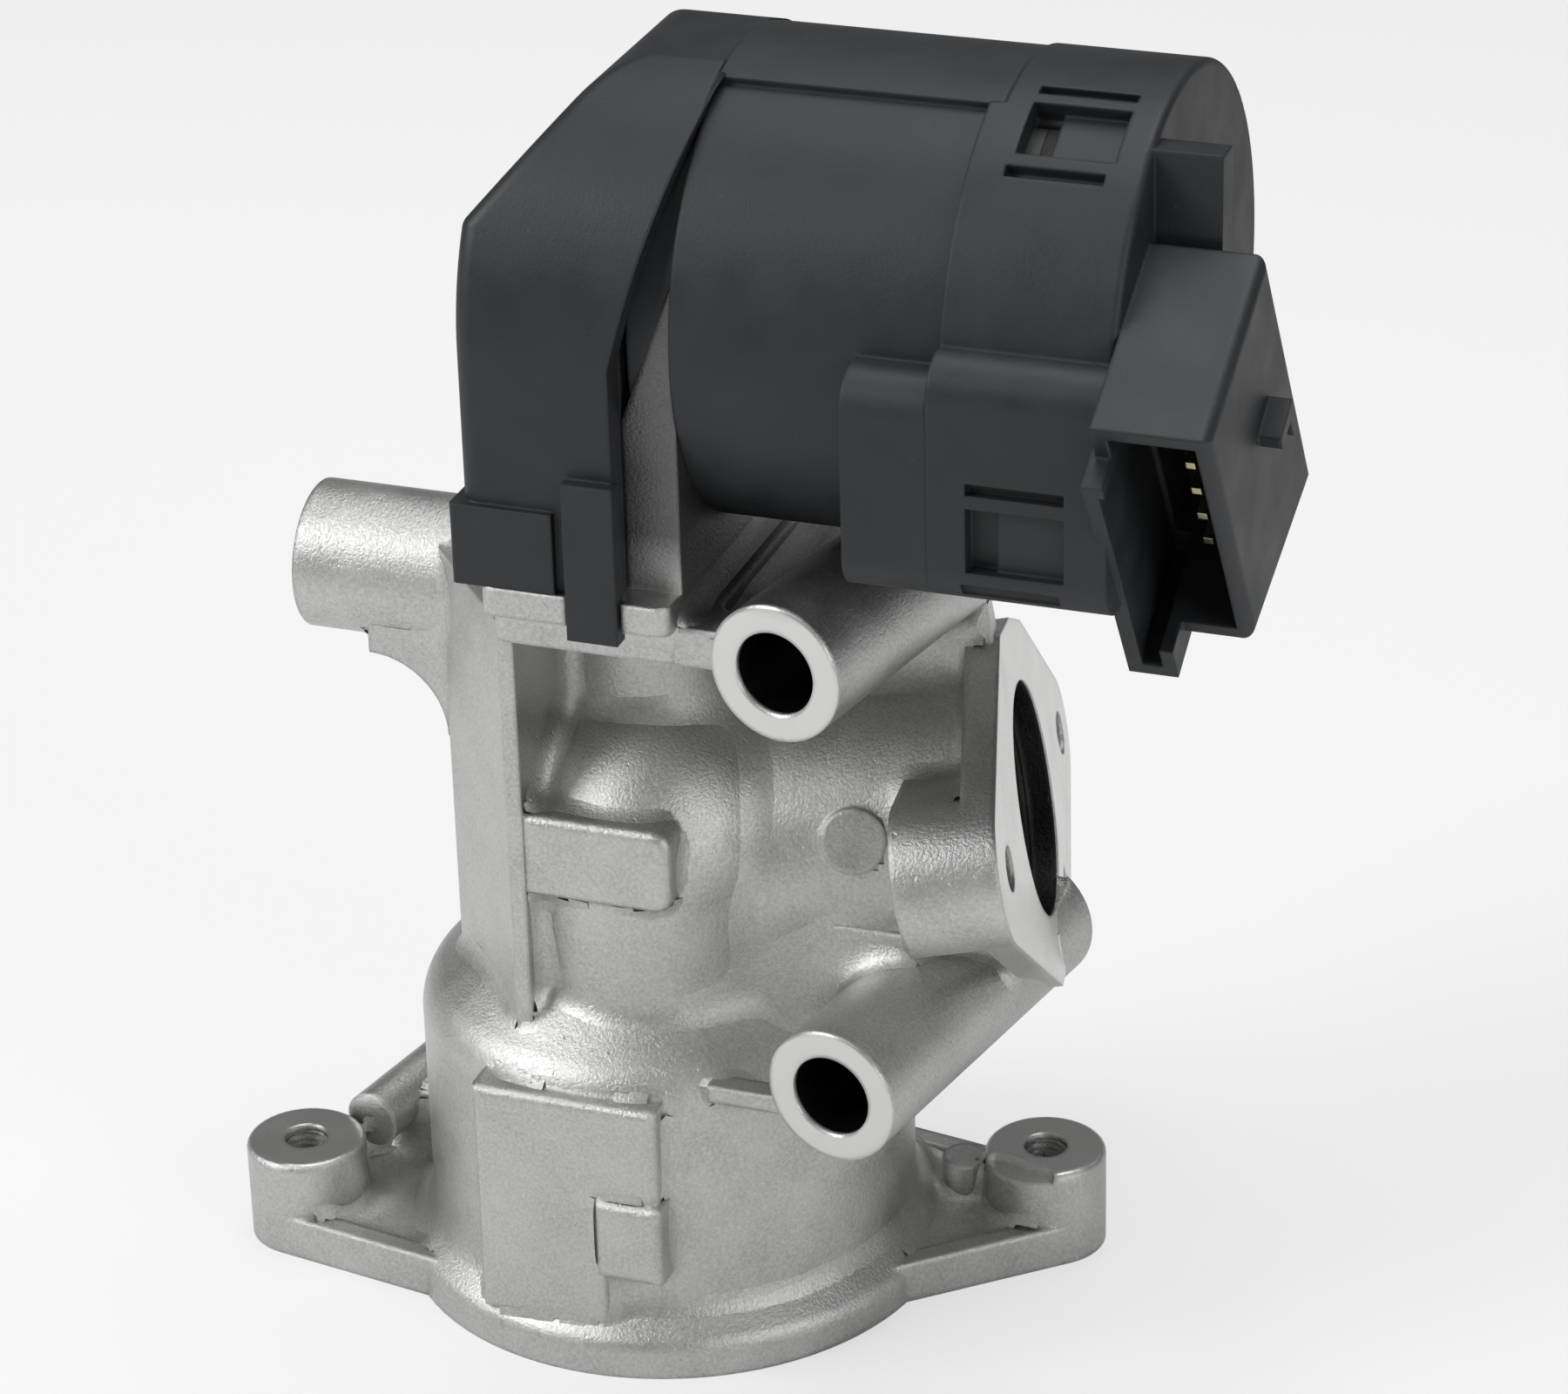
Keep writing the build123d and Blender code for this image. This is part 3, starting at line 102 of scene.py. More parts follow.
BROAD_FROM_BELOW = (36.0, 44.0)
BROAD_FROM_ABOVE = (88.0, 82.0)
BROAD_FROM_LEFT = (-4.0, 1.0)
BROAD_FROM_RIGHT = (34.0, 26.0)
PAD_BACK = -17.0
PAD_LOW = 52.0
PAD_HIGH = 66.0
PAD_RIGHT = 12.0

# The casting's inner surfaces, in millimetres, where no corner is filled

PASSAGE_RADIUS = 14.5
PASSAGE_TOP = 62.0
INLET_RADIUS = 20.0
INLET_TOP = 15.0
GUIDE_RADIUS = 8.2
GUIDE_FOOT = 58.0
UNDERSIDE = 0.6
UNDER_COVER_FOOT = 93.0
UNDER_COVER_HALF = 26.5
UNDER_COVER_RIGHT = 12.8
BOSS_BORE_CLEAR = 5.8
OUTLET_CLEAR = 14.3
EAR_HOLE_CLEAR = 3.8
STUB_HOLE_CLEAR = 4.8
OUTLET_SCREW_CLEAR = 3.8
OUTLET_SCREW_DEPTH = 12.5
MOUTH_MARGIN = 1.0

# The thread in the ears' holes, in millimetres

THREAD_PITCH = 0.8
THREAD_DEPTH = 0.3
THREAD_RADIUS = 2.46
THREAD_LOW = 2.0
THREAD_HIGH = 11.2
THREAD_ROWS = 110
THREAD_TURNS = 40

# Machined faces, and bores painted dark as painted shade, on the casting, in metres

FACE_DEPTH = 0.12 * MM
FACE_TILT = 0.9
MACHINED_FACES = [
    (LOWER_BOSS, BOSS_OUTWARDS, 9.0 * MM),
    (UPPER_BOSS, BOSS_OUTWARDS, 9.0 * MM),
    (OUTLET_FACE, OUTLET_AXIS, 40.0 * MM),
    ((*RIGHT_EAR, EAR_TOP), UPWARDS, 9.0 * MM),
    ((*LEFT_EAR, EAR_TOP), UPWARDS, 9.0 * MM),
    ((-STUB_END, 0.0, STUB_HEIGHT), LEFTWARDS, 10.0 * MM),
    ((0.0, 0.0, 0.0), DOWNWARDS, 60.0 * MM),
    ((0.0, 0.0, DECK_TOP), UPWARDS, 40.0 * MM),
]
BOSS_BORE_SHADE = 4.7 * MM
BOSS_BORE_EDGE = 0.6 * MM
# Bores whose insides get painted shade: point, direction, radius, start and end along the axis
SHADED_BORES = [
    (OUTLET_START, OUTLET_AXIS, 13.3 * MM, 10.0 * MM, 42.2 * MM),
    (LOWER_BOSS, BOSS_INWARDS, BOSS_BORE_SHADE, BOSS_BORE_EDGE, BOSS_LENGTH),
    (UPPER_BOSS, BOSS_INWARDS, BOSS_BORE_SHADE, BOSS_BORE_EDGE, BOSS_LENGTH),
    ((0.0, 0.0, 0.0), UPWARDS, 19.1 * MM, 0.5 * MM, 26.0 * MM),
]

# Colours and finishes of the two large materials

CAST_DARK = (0.43, 0.43, 0.425)
CAST_PALE = (0.55, 0.55, 0.54)
CAST_SPECK = (0.80, 0.80, 0.79)
CAST_MACHINED = (0.70, 0.70, 0.69)
# Painted shade: the near-black colour painted inside the bores
CAST_BORE_SHADE = (0.035, 0.034, 0.033)
# Painted shade: the dark colour painted on the casting's wall above the deck, standing in for shade and
# the reflected black plastic
CAST_WALL_SHADE = (0.075, 0.076, 0.078)
SPECK_SHARE = 0.5
# How far the painted shade on the wall above the deck goes, and where it starts and is full, rising
# from its foot
WALL_SHADE_SHARE = 0.82
WALL_SHADE_FOOT = DECK_TOP + 0.4 * MM
WALL_SHADE_FULL = WALL_SHADE_FOOT + 6.0 * MM
MACHINED_SMOOTHER = 0.12
MACHINED_FLATTER = 0.8
CAST_METALLIC = 0.95
CAST_GRAIN = 0.1 * MM
CAST_EDGE = 0.9 * MM
PLASTIC_DARK = (0.013, 0.0145, 0.0165)
PLASTIC_PALE = (0.020, 0.022, 0.025)
PLASTIC_SPECK = (0.07, 0.073, 0.077)
PLASTIC_GRAIN = 0.035 * MM
PLASTIC_EDGE = 0.5 * MM
METAL_EDGE = 0.15 * MM
MOULDING_EDGE = 0.2 * MM
BEVEL_SAMPLES = 6


# Camera, floor and light


def make_camera():
    """The camera is turned about Z by its turn, raised by its rise and then rolled."""
    turn, rise, roll = CAMERA_TURN, CAMERA_RISE, CAMERA_ROLL
    right = Vector((math.cos(turn), math.sin(turn), 0.0))
    up = Vector((-math.sin(turn) * math.sin(rise), math.cos(turn) * math.sin(rise), math.cos(rise)))
    back = Vector((math.sin(turn) * math.cos(rise), -math.cos(turn) * math.cos(rise), math.sin(rise)))
    across = math.cos(roll) * right - math.sin(roll) * up
    upward = math.sin(roll) * right + math.cos(roll) * up
    data = bpy.data.cameras.new("view")
    data.lens = CAMERA_LENS
    data.sensor_width = CAMERA_SENSOR
    data.clip_start = NEAREST_SEEN
    data.clip_end = FARTHEST_SEEN
    camera = bpy.data.objects.new("view", data)
    turned = Matrix((across, upward, back)).transposed().to_4x4()
    camera.matrix_world = Matrix.Translation(CAMERA_PLACE) @ turned
    bpy.context.scene.collection.objects.link(camera)
    bpy.context.scene.camera = camera


def make_lamp(name, place, target, size, power):
    """A square soft box at place that looks at target; sizes in metres, power in watts."""
    data = bpy.data.lights.new(name, "AREA")
    data.shape = "SQUARE"
    data.size = size
    data.energy = power
    lamp = bpy.data.objects.new(name, data)
    way = Vector(target) - Vector(place)
    lamp.matrix_world = Matrix.Translation(place) @ way.to_track_quat("-Z", "Y").to_matrix().to_4x4()
    bpy.context.scene.collection.objects.link(lamp)


def camera_ray(tree):
    """1 where the camera looks straight at a surface or the surround, else 0."""
    return tree.nodes.new("ShaderNodeLightPath").outputs["Is Camera Ray"]


def mix_shaders(tree, share, first, second, out):
    """Mixes two shaders by the share, into the tree's output."""
    mix = tree.nodes.new("ShaderNodeMixShader")
    tree.links.new(share, mix.inputs["Fac"])
    tree.links.new(first, mix.inputs[1])
    tree.links.new(second, mix.inputs[2])
    tree.links.new(mix.outputs[0], out.inputs["Surface"])


def make_world():
    """A surround that the camera sees as white and that gives the object a weak even light."""
    world = bpy.data.worlds.new("surround")
    bpy.context.scene.world = world
    world.use_nodes = True
    tree = world.node_tree
    tree.nodes.clear()
    out = tree.nodes.new("ShaderNodeOutputWorld")
    light = tree.nodes.new("ShaderNodeBackground")
    light.inputs["Color"].default_value = WHITE
    light.inputs["Strength"].default_value = SURROUND_STRENGTH
    seen = tree.nodes.new("ShaderNodeBackground")
    seen.inputs["Color"].default_value = WHITE
    seen.inputs["Strength"].default_value = 1.0
    mix_shaders(tree, camera_ray(tree), light.outputs[0], seen.outputs[0], out)


def make_floor():
    """A flat disc under the base: a grid of rings and turns, each point at (r cos t, r sin t).
    The camera sees it as partly white, so that it runs into the surround."""
    r = np.linspace(FLOOR_HUB, FLOOR_RADIUS, FLOOR_RINGS)[:, None]
    t = np.linspace(0, 2 * np.pi, FLOOR_TURNS, endpoint=False)[None, :]
    flat = np.zeros((FLOOR_RINGS, FLOOR_TURNS))
    floor = ring_sheet("floor", np.stack([r * np.cos(t), r * np.sin(t), flat], axis=-1), capped=True)
    material = bpy.data.materials.new("pale_floor")
    material.use_nodes = True
    tree = material.node_tree
    tree.nodes.clear()
    out = tree.nodes.new("ShaderNodeOutputMaterial")
    matt = tree.nodes.new("ShaderNodeBsdfDiffuse")
    matt.inputs["Color"].default_value = FLOOR_COLOUR
    seen = tree.nodes.new("ShaderNodeEmission")
    seen.inputs["Color"].default_value = WHITE
    seen.inputs["Strength"].default_value = 1.0
    share = math_node(tree, "MULTIPLY", camera_ray(tree), FLOOR_WHITE_SHARE)
    mix_shaders(tree, share, matt.outputs[0], seen.outputs[0], out)
    floor.data.materials.append(material)


# Surfaces worked out on a grid


def ring_sheet(name, points, capped=False):
    """A mesh over a grid of points, rows by columns, whose last column joins the first; a cap is
    one face over the first row."""
    rows, columns = points.shape[:2]
    row = np.arange(rows - 1)[:, None]
    column = np.arange(columns)[None, :]
    next_column = (column + 1) % columns
    quads = np.stack(
        [
            row * columns + column,
            row * columns + next_column,
            (row + 1) * columns + next_column,
            (row + 1) * columns + column,
        ],
        axis=-1,
    ).reshape(-1, 4)
    faces = quads.tolist()
    if capped:
        faces.append(list(range(columns))[::-1])
    return mesh_piece(name, points.reshape(-1, 3), faces)


def mesh_piece(name, points, faces):
    """An object in the scene, at the origin, with a mesh of the given points and faces."""
    mesh = bpy.data.meshes.new(name)
    mesh.from_pydata(points.tolist(), [], faces)
    mesh.update()
    piece = bpy.data.objects.new(name, mesh)
    bpy.context.scene.collection.objects.link(piece)
    return piece


def smooth_shade(piece, angle):
    """Marks every face smooth and keeps edges over the angle, in degrees, sharp."""
    mesh = piece.data
    mesh.polygons.foreach_set("use_smooth", np.ones(len(mesh.polygons), dtype=bool))
    mesh.set_sharp_from_angle(angle=math.radians(angle))


# Soft cast corners


def laid_out_mesh(source, voxel):
    """A copy of a node's mesh, merged and laid out anew in cubes of the voxel's size: its points,
    their normals, its edges and its four-sided faces, in the frame's own axes."""
    copy = bpy.data.objects.new("corner_source", source.data.copy())
    copy.matrix_world = source.matrix_world
    bpy.context.scene.collection.objects.link(copy)
    weld = copy.modifiers.new("merge", "WELD")
    weld.merge_threshold = FILLET_MERGE
    remesh = copy.modifiers.new("cubes", "REMESH")
    remesh.mode = "VOXEL"
    remesh.voxel_size = voxel
    ready = copy.evaluated_get(bpy.context.evaluated_depsgraph_get())
    mesh = bpy.data.meshes.new_from_object(ready)
    mesh.transform(source.matrix_world)
    points = np.empty(len(mesh.vertices) * 3)
    mesh.vertices.foreach_get("co", points)
    normals = np.empty(len(mesh.vertices) * 3)
    mesh.vertex_normals.foreach_get("vector", normals)
    edges = np.empty(len(mesh.edges) * 2, dtype=np.int64)
    mesh.edges.foreach_get("vertices", edges)
    corners = np.empty(len(mesh.loops), dtype=np.int64)
    mesh.loops.foreach_get("vertex_index", corners)
    bpy.data.objects.remove(copy)
    bpy.data.meshes.remove(mesh)
    return points.reshape(-1, 3), normals.reshape(-1, 3), edges.reshape(-1, 2), corners.reshape(-1, 4)


def relaxed(points, edges, rounds):
    """Each point moves half way to the mean of its neighbours, a number of times over."""
    first, second = edges[:, 0], edges[:, 1]
    count = len(points)
    neighbours = np.bincount(first, minlength=count) + np.bincount(second, minlength=count)
    moved = points.copy()
    for _ in range(rounds):
        total = np.empty_like(moved)
        for axis in range(3):
            total[:, axis] = np.bincount(first, weights=moved[second, axis], minlength=count)
            total[:, axis] += np.bincount(second, weights=moved[first, axis], minlength=count)
        moved = 0.5 * moved + 0.5 * total / neighbours[:, None]
    return moved


def ramp(values, start, full):
    """0 before start and 1 past full, rising evenly between them, in either direction."""
    return np.clip((values - start) / (full - start), 0.0, 1.0)


def broad_share(points):
    """How far each point follows the broad relaxing: wholly on the neck and the duct, and not at
    all round the small pad on the neck's front or beyond them."""
    x, y, z = points.T / MM
    share = ramp(z, *BROAD_FROM_BELOW) * ramp(z, *BROAD_FROM_ABOVE)
    share *= ramp(x, *BROAD_FROM_LEFT) * ramp(x, *BROAD_FROM_RIGHT)
    on_pad = (y < PAD_BACK) & (z > PAD_LOW) & (z < PAD_HIGH) & (x < PAD_RIGHT)
    return np.where(on_pad, 0.0, share)[:, None]


def near_bore(points, start, direction, radius, depth=MOUTH_MARGIN):
    """True within the radius of a bore's axis, from depth before its start onwards, both in
    millimetres. The reach along the axis is the dot product with its direction."""
    way = np.array(Vector(direction).normalized())
    reach = (points - np.array(start)) @ way
    distance = np.linalg.norm(points - np.array(start) - reach[:, None] * way, axis=1)
    return (distance < radius * MM) & (reach > -depth * MM)


def outlet_screws():
    """The mouths of the two screw holes in the outlet's face."""
    across = Vector((-math.sin(OUTLET_TURN), math.cos(OUTLET_TURN), 0.0))
    upward = Vector(OUTLET_AXIS).cross(across)
    way = across * math.cos(OUTLET_SCREW_TILT) - upward * math.sin(OUTLET_SCREW_TILT)
    return [tuple(Vector(OUTLET_FACE) + way * side * OUTLET_SCREW_OFFSET) for side in (-1.0, 1.0)]


def on_inner_surface(points):
    """True at points of the gas passage, the guide, the underside, the deck under the cover, and
    the bores and screw holes."""
    x, y, z = points.T / MM
    from_axis = np.hypot(x, y)
    inner = (from_axis < PASSAGE_RADIUS) & (z < PASSAGE_TOP) & (z > 0.0)
    inner |= (from_axis < INLET_RADIUS) & (z < INLET_TOP)
    inner |= (from_axis < GUIDE_RADIUS) & (z > GUIDE_FOOT)
    inner |= z < UNDERSIDE
    inner |= (z > UNDER_COVER_FOOT) & (np.abs(y) < UNDER_COVER_HALF) & (x < UNDER_COVER_RIGHT)
    inner |= near_bore(points, LOWER_BOSS, BOSS_INWARDS, BOSS_BORE_CLEAR)
    inner |= near_bore(points, UPPER_BOSS, BOSS_INWARDS, BOSS_BORE_CLEAR)
    inner |= near_bore(points, OUTLET_START, OUTLET_AXIS, OUTLET_CLEAR)
    inner |= near_bore(points, (*RIGHT_EAR, 0.0), UPWARDS, EAR_HOLE_CLEAR)
    inner |= near_bore(points, (*LEFT_EAR, 0.0), UPWARDS, EAR_HOLE_CLEAR)
    inner |= near_bore(points, (-STUB_HOLE_END, 0.0, STUB_HEIGHT), LEFTWARDS, STUB_HOLE_CLEAR)
    for mouth in outlet_screws():
        inner |= near_bore(points, mouth, OUTLET_AXIS, OUTLET_SCREW_CLEAR, OUTLET_SCREW_DEPTH)
    return inner


def corner_fillets():
    """The soft inner corners of the casting. Its surface is relaxed, which fills the inner corners
    and draws the rest in, and is then set back a little, so that it slides under the surface where
    a fill ends. Only faces that fill a corner on the outside are kept."""
    points, normals, edges, corners = laid_out_mesh(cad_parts["valve_body"], FILLET_CUBE)
    points = relaxed(points, edges, 1)
    narrow = relaxed(points, edges, NARROW_ROUNDS)
    broad = relaxed(narrow, edges, BROAD_ROUNDS)
    share = broad_share(points)
    smooth = narrow * (1.0 - share) + broad * share
    outward = np.einsum("ij,ij->i", smooth - points, normals)
    fills = outward > FILLET_SETBACK
    placed = smooth - FILLET_SETBACK * normals
    kept = fills[corners].any(axis=1) & ~on_inner_surface(points)[corners].any(axis=1)
    used, numbered = np.unique(corners[kept], return_inverse=True)
    piece = mesh_piece("casting_fillets", placed[used], numbered.reshape(-1, 4).tolist())
    smooth_shade(piece, 180.0)
    return piece


def ear_thread(name, place):
    """The thread in a screw hole: a tube whose radius at height z and turn t is the hole's, less
    the thread's depth times a triangle wave of z / pitch - t / full turn. The grid's columns run
    backwards, so that the faces look into the hole."""
    z = np.linspace(THREAD_LOW, THREAD_HIGH, THREAD_ROWS)[:, None]
    t = np.linspace(0, 2 * np.pi, THREAD_TURNS, endpoint=False)[None, :]
    phase = (z / THREAD_PITCH - t / (2 * np.pi)) % 1.0
    radius = THREAD_RADIUS - THREAD_DEPTH * (1.0 - np.abs(2.0 * phase - 1.0))
    x = place[0] / MM + radius * np.cos(t)
    y = place[1] / MM + radius * np.sin(t)
    piece = ring_sheet(name, np.stack([x, y, z + 0 * t], axis=-1)[:, ::-1] * MM)
    smooth_shade(piece, 50.0)
    return piece


# Single shader nodes


def math_node(tree, kind, first, second=None):
    """One Math node; each side is a socket or a number."""
    node = tree.nodes.new("ShaderNodeMath")
    node.operation = kind
    for number, side in enumerate((first, second)):
        if side is None:
            continue
        if isinstance(side, (int, float)):
            node.inputs[number].default_value = side
        else:
            tree.links.new(side, node.inputs[number])
    return node.outputs[0]


def vector_node(tree, kind, first, second=None):
    """One Vector Math node between sockets; its outputs are Vector and Value."""
    node = tree.nodes.new("ShaderNodeVectorMath")
    node.operation = kind
    tree.links.new(first, node.inputs[0])
    if second is not None:
        tree.links.new(second, node.inputs[1])
    return node.outputs


def noise(tree, vector, scale, detail, roughness):
    """A noise texture's factor at the given number of features per metre."""
    node = tree.nodes.new("ShaderNodeTexNoise")
    node.inputs["Scale"].default_value = scale
    node.inputs["Detail"].default_value = detail
    node.inputs["Roughness"].default_value = roughness
    tree.links.new(vector, node.inputs["Vector"])
    return node.outputs["Fac"]


def span(tree, value, low, high, out_low=0.0, out_high=1.0):
    """A clamped Map Range from low..high to out_low..out_high."""
    node = tree.nodes.new("ShaderNodeMapRange")
    node.inputs["From Min"].default_value = low
    node.inputs["From Max"].default_value = high
    node.inputs["To Min"].default_value = out_low
    node.inputs["To Max"].default_value = out_high
    tree.links.new(value, node.inputs["Value"])
    return node.outputs["Result"]


def blend_colour(tree, share, first, second):
    """A colour mix; share is a socket, and each side a socket or a colour."""
    node = tree.nodes.new("ShaderNodeMix")
    node.data_type = "RGBA"
    tree.links.new(share, node.inputs["Factor"])
    for label, side in (("A", first), ("B", second)):
        socket = [s for s in node.inputs if s.name == label and s.type == "RGBA"][0]
        if isinstance(side, tuple):
            socket.default_value = (*side, 1.0)
        else:
            tree.links.new(side, socket)
    return [s for s in node.outputs if s.type == "RGBA"][0]


def widest(tree, masks):
    """The largest of several masks."""
    largest = masks[0]
    for mask in masks[1:]:
        largest = math_node(tree, "MAXIMUM", largest, mask)
    return largest


# Effects that several materials or places share


def new_group(name, inputs, outputs):
    """An empty shader node group with named sockets; a socket is (name, kind, value or None)."""
    group = bpy.data.node_groups.new(name, "ShaderNodeTree")
    for label, kind, value in inputs:
        socket = group.interface.new_socket(name=label, in_out="INPUT", socket_type=kind)
        if value is not None:
            socket.default_value = value
    for label, kind in outputs:
        group.interface.new_socket(name=label, in_out="OUTPUT", socket_type=kind)
    start = group.nodes.new("NodeGroupInput")
    end = group.nodes.new("NodeGroupOutput")
    return group, start, end


def grain_group():
    """Surface grain: fine grain plus broad unevenness less scattered pits. Height is the weighted
    sum of the three, Mottle the broad noise alone and Speckle the fine noise alone."""
    group, start, end = new_group(
        "surface_grain",
        [
            ("Vector", "NodeSocketVector", None),
            ("Fine", "NodeSocketFloat", 1.0),
            ("Broad", "NodeSocketFloat", 0.5),
            ("Pits", "NodeSocketFloat", 0.3),
        ],
        [("Height", "NodeSocketFloat"), ("Mottle", "NodeSocketFloat"), ("Speckle", "NodeSocketFloat")],
    )
    place = start.outputs["Vector"]
    fine = noise(group, place, 2600.0, 4.0, 0.7)
    broad = noise(group, place, 160.0, 3.0, 0.5)
    spots = noise(group, place, 900.0, 2.0, 0.5)
    pit = span(group, spots, 0.66, 0.78)
    height = math_node(group, "MULTIPLY", fine, start.outputs["Fine"])
    lift = math_node(group, "MULTIPLY", broad, start.outputs["Broad"])
    drop = math_node(group, "MULTIPLY", pit, start.outputs["Pits"])
    height = math_node(group, "ADD", height, lift)
    height = math_node(group, "SUBTRACT", height, drop)
    group.links.new(height, end.inputs["Height"])
    group.links.new(broad, end.inputs["Mottle"])
    group.links.new(fine, end.inputs["Speckle"])
    return group


def flat_face_group():
    """A mask for one machined face: 1 where the surface lies near the plane through Point across
    Direction, looks along Direction, and is within Reach of Point."""
    group, start, end = new_group(
        "machined_face",
        [
            ("Vector", "NodeSocketVector", None),
            ("Point", "NodeSocketVector", (0.0, 0.0, 0.0)),
            ("Direction", "NodeSocketVector", (0.0, 0.0, 1.0)),
            ("Reach", "NodeSocketFloat", 0.01),
        ],
        [("Mask", "NodeSocketFloat")],
    )
    direction = start.outputs["Direction"]
    away = vector_node(group, "SUBTRACT", start.outputs["Vector"], start.outputs["Point"])["Vector"]
    off_plane = vector_node(group, "DOT_PRODUCT", away, direction)["Value"]
    near = math_node(group, "LESS_THAN", math_node(group, "ABSOLUTE", off_plane), FACE_DEPTH)
    distance = vector_node(group, "LENGTH", away)["Value"]
    inside = math_node(group, "LESS_THAN", distance, start.outputs["Reach"])
    surface = group.nodes.new("ShaderNodeNewGeometry")
    facing = vector_node(group, "DOT_PRODUCT", surface.outputs["Normal"], direction)["Value"]
    looks = math_node(group, "GREATER_THAN", facing, FACE_TILT)
    mask = math_node(group, "MULTIPLY", near, inside)
    mask = math_node(group, "MULTIPLY", mask, looks)
    group.links.new(mask, end.inputs["Mask"])
    return group


def bore_group():
    """A mask for one bore: 1 where the distance from the axis through Point along Direction is
    under Radius and the place along the axis is between Start and End. The distance is the root
    of the squared distance from Point less the squared reach along the axis."""
    group, start, end = new_group(
        "bore_inside",
        [
            ("Vector", "NodeSocketVector", None),
            ("Point", "NodeSocketVector", (0.0, 0.0, 0.0)),
            ("Direction", "NodeSocketVector", (0.0, 0.0, 1.0)),
            ("Radius", "NodeSocketFloat", 0.005),
            ("Start", "NodeSocketFloat", 0.0),
            ("End", "NodeSocketFloat", 0.1),
        ],
        [("Mask", "NodeSocketFloat")],
    )
    away = vector_node(group, "SUBTRACT", start.outputs["Vector"], start.outputs["Point"])["Vector"]
    reach = vector_node(group, "DOT_PRODUCT", away, start.outputs["Direction"])["Value"]
    square = vector_node(group, "DOT_PRODUCT", away, away)["Value"]
    along = math_node(group, "MULTIPLY", reach, reach)
    across = math_node(group, "SQRT", math_node(group, "SUBTRACT", square, along))
    near = math_node(group, "LESS_THAN", across, start.outputs["Radius"])
    past = math_node(group, "GREATER_THAN", reach, start.outputs["Start"])
    before = math_node(group, "LESS_THAN", reach, start.outputs["End"])
    inside = math_node(group, "MULTIPLY", near, math_node(group, "MULTIPLY", past, before))
    group.links.new(inside, end.inputs["Mask"])
    return group


GRAIN = grain_group()
BORE = bore_group()
FACE = flat_face_group()


# Materials


def new_material(name):
    """A material with its Principled shader, its tree and its Object coordinates."""
    material = bpy.data.materials.new(name)
    material.use_nodes = True
    tree = material.node_tree
    shader = tree.nodes["Principled BSDF"]
    place = tree.nodes.new("ShaderNodeTexCoord").outputs["Object"]
    return material, tree, shader, place


def add_group(tree, group, place, **values):
    """A node group in a material, with its own values."""
    node = tree.nodes.new("ShaderNodeGroup")
    node.node_tree = group
    tree.links.new(place, node.inputs["Vector"])
    for label, value in values.items():
        node.inputs[label].default_value = value
    return node.outputs


def bump_normal(tree, height, depth, soft_edge):
    """A bump from the height, over corners rounded by soft_edge."""
    bump = tree.nodes.new("ShaderNodeBump")
    bump.inputs["Strength"].default_value = 1.0
    bump.inputs["Distance"].default_value = depth
    tree.links.new(height, bump.inputs["Height"])
    bevel = tree.nodes.new("ShaderNodeBevel")
    bevel.samples = BEVEL_SAMPLES
    bevel.inputs["Radius"].default_value = soft_edge
    tree.links.new(bevel.outputs["Normal"], bump.inputs["Normal"])
    return bump.outputs["Normal"]


def machined_mask(tree, place):
    """1 on the casting's machined faces."""
    masks = []
    for point, direction, reach in MACHINED_FACES:
        face = add_group(tree, FACE, place, Point=point, Direction=direction, Reach=reach)
        masks.append(face["Mask"])
    return widest(tree, masks)


def bore_shade_mask(tree, place):
    """1 inside the casting's gas openings and boss bores, where painted shade goes."""
    masks = []
    for point, direction, radius, start, end in SHADED_BORES:
        bore = add_group(
            tree, BORE, place,
            Point=point, Direction=direction, Radius=radius, Start=start, End=end,
        )
        masks.append(bore["Mask"])
    return widest(tree, masks)


def cast_aluminium():
    """Bead-blasted die casting, with brighter and smoother machined faces, painted shade inside the
    bores and painted shade with a painted dark reflection on the wall above the deck."""
    material, tree, shader, place = new_material("cast_aluminium")
    grain = add_group(tree, GRAIN, place, Fine=1.0, Broad=1.2, Pits=0.5)
    machined = machined_mask(tree, place)
    colour = blend_colour(tree, span(tree, grain["Mottle"], 0.3, 0.7), CAST_DARK, CAST_PALE)
    speckle = span(tree, grain["Speckle"], 0.35, 0.65, 0.0, SPECK_SHARE)
    colour = blend_colour(tree, speckle, colour, CAST_SPECK)
    colour = blend_colour(tree, machined, colour, CAST_MACHINED)
    # Painted shade: the insides of the bores are painted near-black
    colour = blend_colour(tree, bore_shade_mask(tree, place), colour, CAST_BORE_SHADE)
    # Painted shade and painted dark reflection on the wall above the deck, darker from its foot upwards
    split = tree.nodes.new("ShaderNodeSeparateXYZ")
    tree.links.new(place, split.inputs[0])
    wall_shade = span(tree, split.outputs["Z"], WALL_SHADE_FOOT, WALL_SHADE_FULL, 0.0, WALL_SHADE_SHARE)
    colour = blend_colour(tree, wall_shade, colour, CAST_WALL_SHADE)
    tree.links.new(colour, shader.inputs["Base Color"])
    rough = span(tree, grain["Mottle"], 0.3, 0.7, 0.31, 0.41)
    smoother = math_node(tree, "MULTIPLY", machined, MACHINED_SMOOTHER)
    rough = math_node(tree, "SUBTRACT", rough, smoother)
    tree.links.new(rough, shader.inputs["Roughness"])
    shader.inputs["Metallic"].default_value = CAST_METALLIC
    flatter = math_node(tree, "MULTIPLY", machined, MACHINED_FLATTER)
    height = math_node(tree, "MULTIPLY", grain["Height"], math_node(tree, "SUBTRACT", 1.0, flatter))
    tree.links.new(bump_normal(tree, height, CAST_GRAIN, CAST_EDGE), shader.inputs["Normal"])
    return material


